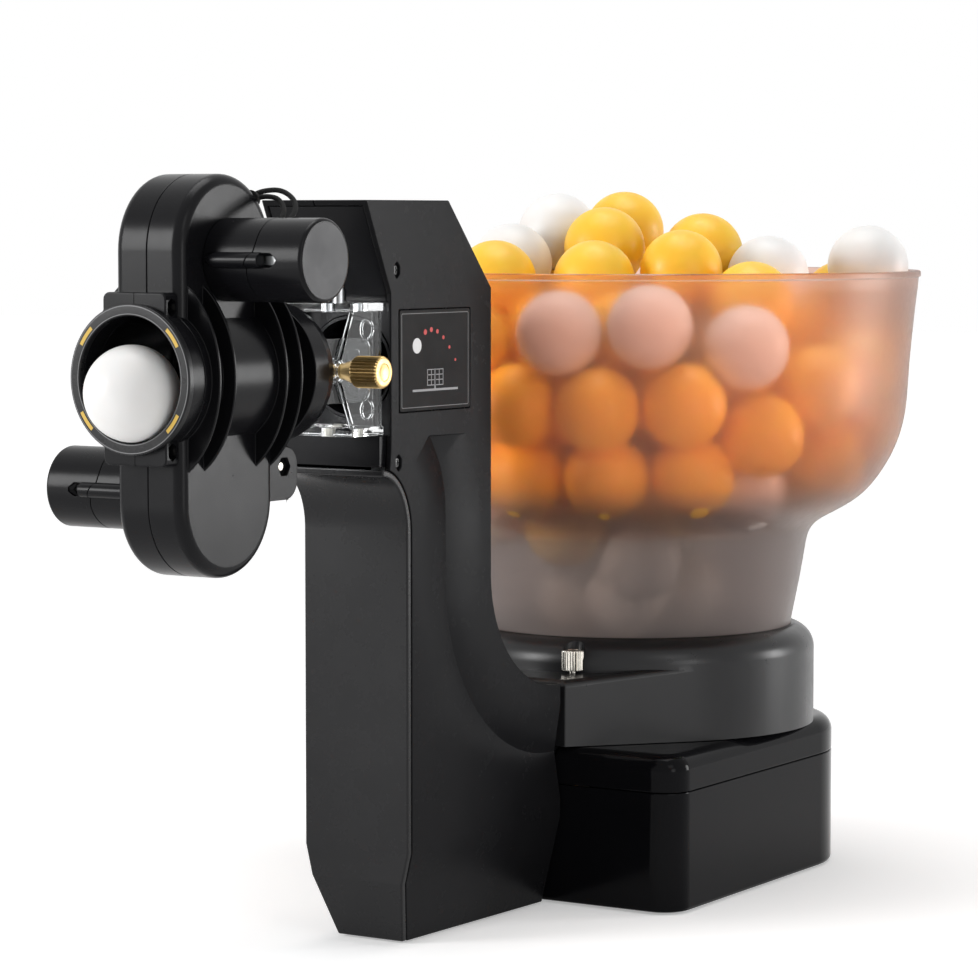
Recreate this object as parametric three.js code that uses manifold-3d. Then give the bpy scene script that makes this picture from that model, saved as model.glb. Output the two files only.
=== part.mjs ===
import * as THREE from "three";
import { mergeVertices } from "three/addons/utils/BufferGeometryUtils.js";
import Module from "manifold-3d";

const wasm = await Module();
wasm.setup();

// A table tennis robot: a hopper of balls on a feeding base, a tower that lifts the balls, and a head
// with two throwing wheels on a swinging and tilting clear frame. Millimetres, +Z up, it throws along -Y.

// Clearances and overruns
const GAP = 0.3;
const OVERRUN = 2;
const MERGE = 1e-4;

// Counts of sides and steps
const WIDE_SIDES = 36;
const ROUND_SIDES = 20;
const SMALL_SIDES = 10;
const DUCT_SIDES = 14;
const BALL_SIDES = 14;
const ARC_STEPS = 5;
const CORNER_STEPS = 3;
const EDGE_STEPS = 3;
const SOCKET_SIDES = 6;

// Where the arc of the shells' front edge stops, the turns of the scoop's sections, and those of the
// chamber's posts, in degrees
const SEAM_ARC_END = 76;
const SCOOP_BEND_TURNS = [270, 255, 240, 225, 210, 195, 180];
const SCOOP_LEAN_TURNS = [0, 15, 30, 45];
const POST_TURNS = [45, 135, 225, 315];

// The ball, and the height of the line that it is thrown along
const ball = { diameter: 40, skin: 0.5, vent: 0.5, rest: GAP };
const LAUNCH_HEIGHT = 259;
const GROUND = 1;

// The tower, measured from its front face. Its top, shoulder and brow are heights above the launch
// line, the nose's bottom lies below that line, and the fillet starts below the nose.
const tower = {
  halfWidth: 28,
  wall: 2.5,
  coverDepth: 3.5,
  depth: 68,
  top: 73.5,
  footHalfWidth: 17.7,
  sideCrease: 43,
  chinHeight: 29,
  chinSlope: 11.1,
  filletStart: 39,
  filletRise: 25.8,
  lipReach: 18.9,
  noseReach: 12.4,
  noseBottom: 34,
  browStart: 32.7,
  browReach: 31.3,
  crownDepth: 33.3,
  shoulderHeight: 34,
  tailEnd: 128.1,
  seam: 0.15,
  noseWall: 1.1,
};

// The ball duct: a run from the feeder, a bend, a riser and an elbow to the mouth. The joint's share
// is its place on the straight riser.
const duct = {
  outer: 22.5,
  bore: 21.2,
  runHeight: 79,
  bendY: 125,
  bendZ: 163,
  bend: 84,
  joint_share: 0.41,
  elbow: 30,
  mouth: 4,
};

// The scoop in the tower's sides, which follows the duct's bend. Its lean starts above the bend's
// centre, and its top lies below the launch line.
const scoop = {
  rim: 67.4,
  bottom: 89.5,
  fade: 111,
  deepest: 24.6,
  tailRadius: 57,
  backing: 22.8,
  backingInner: 62,
  backingOuter: 108,
  leanStart: 30,
  leanCentre: 17.8,
  top: 31,
};

// The turret between the shells, which carries the swing pivots and the gear drive. Its bottom is
// measured down from the clear swing frame.
const turret = {
  halfWidth: 25.2,
  spine: 3.5,
  front: 17.5,
  bottom: 14.1,
  floor: 2,
  gearRoom: 9,
  browInset: 0.5,
  shelfDepth: 17.8,
  shelfInner: 1,
  shelfOuter: 22.6,
  pivotBore: 3.3,
};

// The gears of the swing drive. The tooth shares are half widths at the root and the tip, of a pitch.
const drive = {
  module: 1.25,
  sectorTeeth: 26,
  pinionTeeth: 12,
  thickness: 8,
  pinionX: 9,
  hub: 4,
  sectorHalfAngle: 45,
  root_share: 0.37,
  tip_share: 0.13,
  backlash: 0.12,
  lift: 0.48,
  motorRadius: 6.3,
  motorLength: 34,
  motorShaft: 2,
  shaftDepth: 12,
};

// The clear swing frame, measured from its pivot line
const swing = {
  pivotY: 12,
  halfWidth: 24.6,
  halfHeight: 29,
  flange: 4,
  rear: 1,
  front: 25,
  cheek: 1.8,
  cheekFront: 23,
  postWidth: 3,
  postDepth: 4,
  postRear: 3,
  boss: 5,
  pin: 3,
  pinLength: 15,
};

// The clear tilt yoke and the collar, measured from the tilt line
const tilt = {
  pivotY: 45,
  cheekOuter: 22.5,
  cheek: 1.6,
  halfHeight: 14,
  rear: 24,
  rearCorner: 6,
  ringFront: 12,
  ring: 3,
  ringRadius: 26,
  collarRadius: 30.5,
  collarLength: 14.7,
  collarBore: 21,
  spigotRadius: 24,
  spigotLength: 23,
};

// The brass clamp knob and the plain pin on the other side
const knob = {
  shank: 2.5,
  inner: 19,
  sleeve: 4.2,
  headStart: 33,
  headEnd: 47,
  radius: 6.9,
  knurls: 24,
  knurlDepth: 0.45,
  chamfer: 0.9,
  pinHead: 5,
  pinHeadLength: 2.2,
};

// The head, measured from the middle of its two wheels
const head = {
  wheelY: 116,
  halfWidth: 17.5,
  halfDepth: 32,
  wall: 2.2,
  sideWall: 2.7,
  endOffset: 52,
  edge: 4,
  seam: 0.15,
  bore: 26,
  barrel: 30,
  innerBarrel: 28,
  spigotBoreStart: 18,
  finX: 34,
  finZ: 44.4,
  finThickness: 1.5,
  finPlaces: [-27, -16.5, 19, 29.5],
  lugReach: 52,
  lugTop: 31.2,
  lugBottom: 54,
  lugHalfWidth: 15,
  lugCorner: 8,
  lugHole: 2.2,
  lugHoleY: 42.2,
  lugHoleZ: 39.8,
};

// Throwing wheels and their motors
const wheel = {
  offset: 48.5,
  radius: 29,
  hub: 20,
  halfWidth: 12,
  hubHalfWidth: 11,
  shaft: 1.6,
  shaftReach: 40,
  shaftClearance: 0.3,
  crown: 1.5,
  dish: 6,
  dishInner: 6,
  dishOuter: 17,
};
const motor = {
  radius: 14.6,
  sleeve: 17.3,
  sleeveBore: 15,
  sleeveEnd: 41,
  capEnd: 67,
  end: 62,
  capWall: 2.5,
  edge: 1.2,
  passage: 4,
  boss: 3.2,
  bossStart: 24,
  bossEnd: 47,
  bossTip: 6,
};

// The nozzle block and ring
const nozzle = {
  halfWidth: 16.25,
  halfHeight: 35.5,
  depth: 8.2,
  collar: 30,
  ringOuter: 31,
  ringDepth: 3.2,
  chamfer: 0.8,
  corner: 3,
  screwZ: 29.5,
  screwHole: 1.8,
  ballY: 42,
};

// The base, measured from the feeder's axis
const FEEDER_DISTANCE = 240;
const base = {
  frontReach: 108.7,
  rearReach: 102,
  frontHalfWidth: 89,
  rearHalfWidth: 80,
  frontCorner: 14,
  rearCorner: 58,
  wall: 2.5,
  parting: 57.5,
  deck: 75,
  edge: 8,
  tongueHalfWidth: 14.5,
  tongueFront: 218,
  tongueHeight: 4.2,
  post: 5,
  postRadius: 65,
  deckHole: 80,
};

// The feed chamber, and the housing round it: the housing's radius is measured outward from the
// chamber's wall, and the channel's front from the housing
const chamber = { radius: 75, wall: 3, floorTop: 58, floor: 3, top: 112.7 };
const housing = {
  radius: 13,
  wall: 2.5,
  channelHalfWidth: 28,
  channelFront: 17,
  channelTop: 106,
  shoulder: 12,
  shoulderStart: 112,
  ledgeTop: 116.7,
  ledgeBottom: 113,
  ledgeInner: 72,
  rampEnd: 72,
  innerSlope: 5,
  mouth: 80.8,
};
const seat = { inner: 72.3, outer: 80.5, top: 120.7 };
const housingRadius = chamber.radius + chamber.wall + housing.radius;
const channelFront = housingRadius + housing.channelFront;

// The hopper's outer profile from the neck's foot to the rim, as radius and height
const hopper = {
  wall: 2.5,
  rimThickness: 3.4,
  profile: [
    [80, 121],
    [79.6, 128],
    [83.4, 150],
    [86.8, 165],
    [90.2, 172.4],
    [95.6, 177.5],
    [104.9, 184],
    [113.3, 187.6],
    [120.7, 195],
    [128.9, 210],
    [134.2, 225],
    [137.4, 252],
    [141.2, 293],
  ],
  rim: 142.4,
  rimBottom: 296,
  rimTop: 299,
};

// The feed chamber's rotor and its gear motor
const rotor = {
  radius: 72.5,
  bottom: 60,
  top: 96,
  pockets: 5,
  pocketCentre: 50,
  pocketHalfWidth: 21.8,
  wall: 2.5,
  roof: 2.5,
  core: 8,
  coneRadius: 26,
  coneTop: 118,
  shaft: 3,
  shaftBottom: 40,
};
const feedMotor = { radius: 18.5, bottom: 12 };

// Small parts of the base
const foot = {
  radius: 8,
  recess: 2,
  frontX: 62,
  frontY: 84,
  rearX: 40,
  rearY: 74,
  towerRadius: 5.5,
  towerX: 8.5,
  towerY: 26,
};
const board = {
  x: -74,
  y: -92,
  width: 48,
  depth: 38,
  bottom: 11,
  thickness: 1.6,
  chip: 12,
  chipHeight: 3,
  post: 3.2,
  postInset: 4.8,
};
const inlet = {
  radius: 5.5,
  flange: 7.5,
  flangeDepth: 1.2,
  length: 14,
  bore: 3.4,
  boreDepth: 9,
  x: 12,
  z: 32,
};
const rocker = {
  x: -10,
  z: 32,
  halfWidth: 6.5,
  halfHeight: 9.5,
  frame: 2,
  frameDepth: 1.6,
  body: 12,
  pivotDepth: 3,
  tilt: 8,
  rim: 1.2,
};
const thumbscrew = {
  x: 20,
  y: 88,
  radius: 5.35,
  bottom: 109.2,
  top: 119,
  shank: 2,
  shankBottom: 100,
  knurls: 22,
  knurlDepth: 0.35,
  chamfer: 0.8,
};

// The label plate, from below to above the launch line, and the screws in the tower's side, whose
// places are Y and a height from that line
const label = { front: -6, rear: 50, bottom: 19.2, top: 25.3, sink: 0.6, proud: 0.2 };
const sideScrew = {
  radius: 2.8,
  pocket: 3.1,
  depth: 1.6,
  socket: 1.5,
  length: 8,
  shank: 1.5,
  places: [
    [-7.6, 43],
    [-6.6, -41.4],
  ],
};

// Heights that follow the launch line
const frameBottom = LAUNCH_HEIGHT - swing.halfHeight;
const frameTop = LAUNCH_HEIGHT + swing.halfHeight;
const turretBottom = frameBottom - turret.bottom;
const towerTop = LAUNCH_HEIGHT + tower.top;
const shoulderTop = LAUNCH_HEIGHT + tower.shoulderHeight;
const browBottom = LAUNCH_HEIGHT + tower.browStart;
const noseBottom = LAUNCH_HEIGHT - tower.noseBottom;
const filletBottom = noseBottom - tower.filletStart;
const elbowStart = LAUNCH_HEIGHT - duct.elbow;
const ductJoint = duct.bendZ + duct.joint_share * (elbowStart - duct.bendZ);
const labelSpan = [LAUNCH_HEIGHT - label.bottom, LAUNCH_HEIGHT + label.top];
const screwPlaces = sideScrew.places.map(([y, z]) => [y, LAUNCH_HEIGHT + z]);

// The motor leads on the back of the head, as points measured from the wheels' middle
const lead = {
  radius: 1.1,
  sides: 8,
  steps: 16,
  routes: [
    [
      [9, 25.2, 73.2],
      [9.6, 27.6, 75.2],
      [14, 29.8, 77.2],
      [23, 30, 77.6],
      [31.5, 27.6, 73.6],
      [36, 22.6, 69],
      [37, 16.8, 65.2],
      [37, 13, 61.5],
    ],
    [
      [13, 25.2, 73.2],
      [13.4, 26.4, 74.2],
      [17, 27.2, 74.8],
      [23, 26.8, 74.2],
      [28, 24.4, 71.2],
      [31.4, 20.4, 67.8],
      [32.6, 16.4, 64.9],
      [32.6, 13, 61.5],
    ],
  ],
};

// Finishes
const FINISHES = {
  satinBlack: { color: 0x232326, roughness: 0.45, metalness: 0 },
  greyBlack: { color: 0x3a3a3c, roughness: 0.5, metalness: 0 },
  glossBlack: { color: 0x141416, roughness: 0.15, metalness: 0 },
  smoky: { color: 0x8c8079, roughness: 0.3, metalness: 0, transparent: true, opacity: 0.6 },
  clear: { color: 0xf2f5f6, roughness: 0.05, metalness: 0, transparent: true, opacity: 0.35 },
  brass: { color: 0xc89a3c, roughness: 0.3, metalness: 1 },
  nickel: { color: 0xcfcac0, roughness: 0.25, metalness: 1 },
  steel: { color: 0xa7a9ac, roughness: 0.35, metalness: 1 },
  rubber: { color: 0x1b1b1b, roughness: 0.9, metalness: 0 },
  tyre: { color: 0x6d6a60, roughness: 0.95, metalness: 0 },
  nylon: { color: 0xe8e4d8, roughness: 0.5, metalness: 0 },
  board: { color: 0x1f6b3a, roughness: 0.4, metalness: 0 },
  white: { color: 0xf6f6f4, roughness: 0.35, metalness: 0 },
  plate: { color: 0x101012, roughness: 0.3, metalness: 0 },
};

const X = new THREE.Vector3(1, 0, 0);
const Y = new THREE.Vector3(0, 1, 0);
const Z = new THREE.Vector3(0, 0, 1);
const EXTRUDE_BASIS = {
  x: new THREE.Matrix4().makeBasis(Y, Z, X),
  y: new THREE.Matrix4().makeBasis(X, Z, Y),
  z: new THREE.Matrix4(),
};
const TURN_BASIS = {
  x: new THREE.Matrix4().makeBasis(Y, X, Z),
  y: new THREE.Matrix4(),
  z: new THREE.Matrix4().makeBasis(X, Z, Y),
};

// A closed mesh with shared vertices and outward faces, ready to be joined and cut.
function solid(geometry) {
  const bare = new THREE.BufferGeometry();
  bare.setAttribute("position", geometry.getAttribute("position"));
  if (geometry.index) bare.setIndex(geometry.index);
  const merged = mergeVertices(bare, MERGE);
  const points = merged.getAttribute("position");
  const corner = (i) => new THREE.Vector3().fromBufferAttribute(points, i);
  const faces = [];
  let volume = 0;
  for (let i = 0; i < merged.index.count; i += 3) {
    const [a, b, c] = merged.index.array.slice(i, i + 3);
    if (a === b || b === c || c === a) continue;
    faces.push([a, b, c]);
    volume += corner(a).dot(corner(b).cross(corner(c)));
  }
  const outward = volume < 0 ? faces.map(([a, b, c]) => [a, c, b]) : faces;
  return new wasm.Manifold(
    new wasm.Mesh({
      numProp: 3,
      vertProperties: new Float32Array(points.array),
      triVerts: new Uint32Array(outward.flat()),
    }),
  );
}

function geometryOf(body) {
  const mesh = body.getMesh();
  const geometry = new THREE.BufferGeometry();
  geometry.setAttribute("position", new THREE.BufferAttribute(new Float32Array(mesh.vertProperties), 3));
  geometry.setIndex(new THREE.BufferAttribute(new Uint32Array(mesh.triVerts), 1));
  const flat = geometry.toNonIndexed();
  flat.computeVertexNormals();
  return flat;
}

const join = (...bodies) => bodies.reduce((all, next) => all.add(next));
const cut = (body, ...tools) => tools.reduce((rest, tool) => rest.subtract(tool), body);

// An outline drawn in the plane square to an axis, carried along that axis.
function prism(axis, outline, from, to) {
  const shape = new THREE.Shape(outline.map(([a, b]) => new THREE.Vector2(a, b)));
  const geometry = new THREE.ExtrudeGeometry(shape, { depth: to - from, bevelEnabled: false });
  return solid(geometry.translate(0, 0, from).applyMatrix4(EXTRUDE_BASIS[axis]));
}

// The same with rounded edges at both ends.
function softPrism(axis, outline, from, to, edge, steps = EDGE_STEPS) {
  const shape = new THREE.Shape(outline.map(([a, b]) => new THREE.Vector2(a, b)));
  const geometry = new THREE.ExtrudeGeometry(shape, {
    depth: to - from - 2 * edge,
    bevelThickness: edge,
    bevelSize: edge,
    bevelOffset: -edge,
    bevelSegments: steps,
  });
  return solid(geometry.translate(0, 0, from + edge).applyMatrix4(EXTRUDE_BASIS[axis]));
}

// A profile of radius and place along an axis, turned about the line through centre.
function turned(axis, profile, centre = [0, 0], sides = ROUND_SIDES) {
  const points = profile.map(([r, along]) => new THREE.Vector2(r, along));
  if (points[0].x > 0) points.push(points[0].clone());
  const geometry = new THREE.LatheGeometry(points, sides).applyMatrix4(TURN_BASIS[axis]);
  const [a, b] = centre;
  const shift = { x: [0, a, b], y: [a, 0, b], z: [a, b, 0] }[axis];
  return solid(geometry.translate(...shift));
}

function disc(axis, centre, radius, from, to, sides) {
  return turned(axis, [[0, from], [radius, from], [radius, to], [0, to]], centre, sides);
}

function tube(axis, centre, outer, inner, from, to, sides) {
  return turned(axis, [[inner, from], [outer, from], [outer, to], [inner, to]], centre, sides);
}

function block([x0, x1], [y0, y1], [z0, z1]) {
  const geometry = new THREE.BoxGeometry(x1 - x0, y1 - y0, z1 - z0);
  return solid(geometry.translate((x0 + x1) / 2, (y0 + y1) / 2, (z0 + z1) / 2));
}

// A body through sections that all have the same number of corners.
function loft(sections) {
  const size = sections[0].length;
  const last = (sections.length - 1) * size;
  const index = [];
  for (let start = 0; start < last; start += size) {
    for (let c = 0; c < size; c++) {
      const a = start + c;
      const b = start + ((c + 1) % size);
      index.push(a, b, a + size, b, b + size, a + size);
    }
  }
  for (let c = 1; c + 1 < size; c++) {
    index.push(0, c + 1, c, last, last + c, last + c + 1);
  }
  const geometry = new THREE.BufferGeometry();
  geometry.setAttribute("position", new THREE.Float32BufferAttribute(sections.flat(2), 3));
  geometry.setIndex(index);
  return solid(geometry);
}

// Points on an arc or an ellipse's arc, with angles in degrees.
function arc([a, b], radiusA, radiusB, from, to, steps = ARC_STEPS) {
  const points = [];
  for (let i = 0; i <= steps; i++) {
    const angle = THREE.MathUtils.degToRad(from + ((to - from) * i) / steps);
    points.push([a + radiusA * Math.cos(angle), b + radiusB * Math.sin(angle)]);
  }
  return points;
}

// A polygon whose corners are rounded, each with its own radius.
function rounded(corners, steps = CORNER_STEPS) {
  return corners.flatMap(([a, b, radius], i) => {
    const here = new THREE.Vector2(a, b);
    const [before, after] = [corners.at(i - 1), corners[(i + 1) % corners.length]].map(
      ([u, v]) => new THREE.Vector2(u, v).sub(here).normalize(),
    );
    const half = Math.acos(before.dot(after)) / 2;
    const centre = before.clone().add(after).setLength(radius / Math.sin(half)).add(here);
    const start = before.multiplyScalar(radius / Math.tan(half)).add(here).sub(centre);
    const end = after.multiplyScalar(radius / Math.tan(half)).add(here).sub(centre);
    const turn = Math.atan2(start.cross(end), start.dot(end));
    return Array.from({ length: steps + 1 }, (_, s) => {
      const point = start.clone().rotateAround(new THREE.Vector2(), (turn * s) / steps).add(centre);
      return [point.x, point.y];
    });
  });
}

function rectangle(a0, a1, b0, b1, radius) {
  return [[a0, b0, radius], [a1, b0, radius], [a1, b1, radius], [a0, b1, radius]];
}

function named(name, body, finish) {
  const mesh = new THREE.Mesh(
    body.isBufferGeometry ? body : geometryOf(body),
    new THREE.MeshStandardMaterial(FINISHES[finish]),
  );
  mesh.name = name;
  return mesh;
}

function groupAt(x, y, z, ...children) {
  const group = new THREE.Group();
  group.position.set(x, y, z);
  if (children.length) group.add(...children);
  return group;
}

// A knurled head: a disc with shallow grooves round it, chamfered at its outer end.
function knurled(axis, radius, from, to, count, depth, chamfer) {
  const points = [];
  for (let i = 0; i < count * 2; i++) {
    const angle = (Math.PI * i) / count;
    const r = i % 2 ? radius - depth : radius;
    points.push([r * Math.cos(angle), r * Math.sin(angle)]);
  }
  const trim = turned(axis, [
    [0, from],
    [radius + chamfer, from],
    [radius + chamfer, to - 2 * chamfer],
    [radius - chamfer, to],
    [0, to],
  ]);
  return prism(axis, points, from, to).intersect(trim);
}

// The side outline of the tower's shells, from the front of the foot up, round and down the back.
function towerOutline() {
  const t = tower;
  const depth = t.coverDepth;
  const radii = [t.lipReach + depth, t.filletRise + depth];
  const seamArc = arc([-t.lipReach, filletBottom], ...radii, 0, SEAM_ARC_END);
  return [
    [depth + t.chinSlope * (1 - GROUND / t.chinHeight), GROUND],
    [depth, t.chinHeight],
    ...seamArc,
    [-t.noseReach, noseBottom],
    [-t.noseReach, browBottom],
    [-t.browReach, towerTop],
    [t.crownDepth, towerTop],
    [t.depth, shoulderTop],
    ...arc([duct.bendY, duct.bendZ], scoop.tailRadius, scoop.tailRadius, 180, 270),
    [t.tailEnd, duct.bendZ - scoop.tailRadius],
    [t.tailEnd, GROUND],
  ];
}

// The part of the tower between its sides, which draw in to the foot, less a given wall.
function towerTaper(wall) {
  const t = tower;
  const footHalf = t.footHalfWidth - wall;
  const half = t.halfWidth - wall;
  const bottom = wall > 0 ? GROUND + wall : GROUND;
  const outline = [[-footHalf, bottom], [footHalf, bottom], [half, t.sideCrease], [half, towerTop]];
  outline.push([-half, towerTop], [-half, t.sideCrease]);
  return prism("y", outline, -t.browReach - OVERRUN, t.tailEnd + OVERRUN);
}

// Sections along the scoop, which each hold the given pairs of radius and X.
function scoopSections(pairs) {
  const sections = [];
  const station = (place) => sections.push(pairs.map(([radius, x]) => [x, ...place(radius)]));
  const { bendY, bendZ } = duct;
  const lean = scoop.leanCentre;
  station((r) => [tower.tailEnd + OVERRUN, bendZ - r]);
  for (const angle of SCOOP_BEND_TURNS) {
    const turn = THREE.MathUtils.degToRad(angle);
    station((r) => [bendY + r * Math.cos(turn), bendZ + r * Math.sin(turn)]);
  }
  for (const angle of SCOOP_LEAN_TURNS) {
    const turn = THREE.MathUtils.degToRad(angle);
    station((r) => {
      const reach = bendY - r + lean;
      return [reach * Math.cos(turn) - lean, bendZ + scoop.leanStart + reach * Math.sin(turn)];
    });
  }
  return sections;
}

function scoopCut() {
  const s = scoop;
  const side = tower.halfWidth;
  const rise = (side + OVERRUN - s.deepest) / (side - s.deepest);
  const rimRun = s.bottom - (s.bottom - s.rim) * rise;
  const fadeRun = s.bottom + (s.fade - s.bottom) * rise;
  const wedge = loft(scoopSections([
    [rimRun, side + OVERRUN],
    [s.bottom, s.deepest],
    [fadeRun, side + OVERRUN],
  ]));
  const below = block(
    [0, side + 2 * OVERRUN],
    [-tower.browReach, tower.tailEnd + 2 * OVERRUN],
    [0, LAUNCH_HEIGHT - s.top],
  );
  return wedge.intersect(below);
}

function shellHollow() {
  const t = tower;
  const inside = t.wall;
  const front = -t.browReach - OVERRUN;
  const tail = scoop.tailRadius + inside;
  const outline = [
    [front, GROUND + inside],
    [front, towerTop - inside],
    [t.crownDepth - inside / 2, towerTop - inside],
    [t.depth - inside, shoulderTop - inside / 2],
    ...arc([duct.bendY, duct.bendZ], tail, tail, 180, 270),
    [t.tailEnd - inside, duct.bendZ - tail],
    [t.tailEnd - inside, GROUND + inside],
  ];
  const hollow = prism("x", outline, 0, t.halfWidth - inside).intersect(towerTaper(inside));
  const s = scoop;
  const backing = loft(scoopSections([
    [s.backingInner, s.backing],
    [s.backingOuter, s.backing],
    [s.backingOuter, t.halfWidth],
    [s.backingInner, t.halfWidth],
  ]));
  return cut(hollow, backing);
}

function towerShell() {
  const t = tower;
  const outer = prism("x", towerOutline(), t.seam, t.halfWidth).intersect(towerTaper(0));
  const tailHole = disc(
    "y",
    [0, duct.runHeight],
    duct.outer + GAP,
    t.tailEnd - t.wall - OVERRUN,
    t.tailEnd + OVERRUN,
    DUCT_SIDES,
  );
  const tongueHole = block(
    [0, base.tongueHalfWidth + GAP],
    [t.tailEnd - t.wall - OVERRUN, t.tailEnd + OVERRUN],
    [GROUND, GROUND + t.wall + GAP + base.tongueHeight + GAP],
  );
  const noseRelief = block(
    [0, t.halfWidth - t.noseWall],
    [-t.noseReach - OVERRUN, -turret.spine],
    [frameBottom - GAP, frameTop + GAP],
  );
  const labelSeat = block(
    [t.halfWidth - label.sink, t.halfWidth + OVERRUN],
    [label.front - GAP, label.rear + GAP],
    [labelSpan[0] - GAP, labelSpan[1] + GAP],
  );
  const screws = screwPlaces.map((place) =>
    join(
      disc("x", place, sideScrew.pocket, t.halfWidth - sideScrew.depth, t.halfWidth + OVERRUN, SMALL_SIDES),
      disc("x", place, sideScrew.shank + GAP, turret.halfWidth, t.halfWidth, SMALL_SIDES),
    ),
  );
  const socket = disc("z", [foot.towerX, foot.towerY], foot.towerRadius + GAP, 0, foot.recess, SMALL_SIDES);
  const holes = [tailHole, tongueHole, noseRelief, labelSeat, socket, ...screws];
  return cut(outer, shellHollow(), scoopCut(), ...holes);
}

function towerCover() {
  const t = tower;
  const rear = t.coverDepth - GAP;
  const chin = (z) => t.chinSlope * (1 - z / t.chinHeight);
  const outline = [
    [chin(GROUND), GROUND],
    [0, t.chinHeight],
    ...arc([-t.lipReach, filletBottom], t.lipReach, t.filletRise, 0, 90),
    ...arc([-t.lipReach, filletBottom], t.lipReach + rear, t.filletRise + rear, 90, 0),
    [rear, t.chinHeight],
    [rear + chin(GROUND), GROUND],
  ];
  return prism("x", outline, -t.halfWidth, t.halfWidth).intersect(towerTaper(0));
}

// The sector's pitch radius, and the pinion's place on the swing pivot's centre distance.
const sectorRadius = (drive.module * drive.sectorTeeth) / 2;
const pinionRadius = (drive.module * drive.pinionTeeth) / 2;
const pinionReach = Math.sqrt((sectorRadius + pinionRadius) ** 2 - drive.pinionX ** 2);
const pinionY = pinionReach - swing.pivotY;
const gearFloor = turretBottom + turret.floor;
const gearBottom = gearFloor + drive.lift;
const gearTop = gearBottom + drive.thickness;
const gearRoof = gearFloor + turret.gearRoom;

function turretBody() {
  const t = turret;
  const roof = towerTop - tower.wall - GAP;
  const slope = (tower.browReach - tower.noseReach) / (towerTop - browBottom);
  const browFront = (z) => t.browInset - tower.noseReach - Math.max((z - browBottom) * slope, 0);
  const outline = [
    [-t.front, turretBottom],
    [0, turretBottom],
    [0, roof],
    [browFront(roof), roof],
    [browFront(frameTop + GAP), frameTop + GAP],
    [-t.spine, frameTop + GAP],
    [-t.spine, frameBottom - GAP],
    [-t.front, frameBottom - GAP],
  ];
  const body = prism("x", outline, -t.halfWidth, t.halfWidth);
  const shelf = block([t.shelfInner, t.shelfOuter], [-t.spine, t.shelfDepth], [turretBottom, gearFloor]);
  const swingAxis = [0, -swing.pivotY];
  const sweep = disc("z", swingAxis, sectorRadius + 2 * drive.module, gearFloor, gearRoof);
  const rearHalf = block(
    [-t.halfWidth, t.halfWidth],
    [-swing.pivotY - OVERRUN, tower.depth],
    [gearFloor, gearRoof],
  );
  const hubRoom = disc("z", swingAxis, drive.hub + GAP, gearFloor, gearRoof, SMALL_SIDES);
  const pinionAxis = [drive.pinionX, pinionY];
  const pinionRoom = disc("z", pinionAxis, pinionRadius + 2 * drive.module, gearFloor, gearRoof);
  const pivot = disc("z", swingAxis, t.pivotBore, turretBottom - OVERRUN, roof - OVERRUN, SMALL_SIDES);
  const mouth = disc("y", [0, LAUNCH_HEIGHT], duct.outer + GAP, -t.spine - OVERRUN, OVERRUN, DUCT_SIDES);
  const shaft = disc(
    "z",
    pinionAxis,
    drive.motorShaft + 2 * GAP,
    turretBottom - OVERRUN,
    gearFloor + OVERRUN,
    SMALL_SIDES,
  );
  const [inner, outer] = [t.halfWidth - sideScrew.length, t.halfWidth + OVERRUN];
  const screws = screwPlaces.flatMap((place) =>
    [[inner, outer], [-outer, -inner]].map((reach) =>
      disc("x", place, sideScrew.shank + GAP, ...reach, SMALL_SIDES),
    ),
  );
  const room = join(sweep.intersect(rearHalf), hubRoom, pinionRoom);
  return cut(join(body, shelf), room, pivot, mouth, shaft, ...screws);
}

// A gear's outline: trapezoid teeth between the root and the tip, thinned by the backlash.
function gearOutline(teeth, firstTooth, lastTooth) {
  const pitch = (drive.module * teeth) / 2;
  const tip = pitch + drive.module - drive.backlash;
  const root = pitch - drive.module - drive.backlash;
  const step = (2 * Math.PI) / teeth;
  const thin = drive.backlash / pitch;
  const { root_share, tip_share } = drive;
  const corners = [[root, -root_share], [tip, -tip_share], [tip, tip_share], [root, root_share]];
  const points = [];
  for (let tooth = firstTooth; tooth <= lastTooth; tooth++) {
    for (const [radius, share] of corners) {
      const angle = (tooth + share) * step - Math.sign(share) * thin;
      points.push([radius * Math.cos(angle), radius * Math.sin(angle)]);
    }
  }
  return points;
}

// The sector is turned so that one of its tooth spaces meets a tooth of the pinion.
function sectorGear() {
  const toPinion = Math.atan2(pinionReach, drive.pinionX);
  const step = (2 * Math.PI) / drive.sectorTeeth;
  const span = Math.round(THREE.MathUtils.degToRad(drive.sectorHalfAngle) / step);
  const teeth = gearOutline(drive.sectorTeeth, -span, span - 1);
  const rim = prism("z", [[0, 0], ...teeth], gearBottom, gearTop);
  const turn = new THREE.Matrix4().makeRotationZ(toPinion + step / 2);
  const placed = geometryOf(rim).applyMatrix4(turn);
  const hub = disc("z", [0, 0], drive.hub, gearBottom, gearTop, SMALL_SIDES);
  const journal = disc("z", [0, 0], swing.pin, turretBottom, frameBottom + swing.flange, SMALL_SIDES);
  return join(solid(placed), hub, journal);
}

function pinion() {
  const toSector = Math.atan2(-pinionReach, -drive.pinionX);
  const teeth = prism("z", gearOutline(drive.pinionTeeth, 0, drive.pinionTeeth - 1), gearBottom, gearTop);
  const placed = geometryOf(teeth).applyMatrix4(new THREE.Matrix4().makeRotationZ(toSector));
  const shaftBottom = turretBottom - GAP - drive.shaftDepth;
  const shaft = disc("z", [0, 0], drive.motorShaft, shaftBottom, gearTop, SMALL_SIDES);
  return join(solid(placed), shaft);
}

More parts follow.
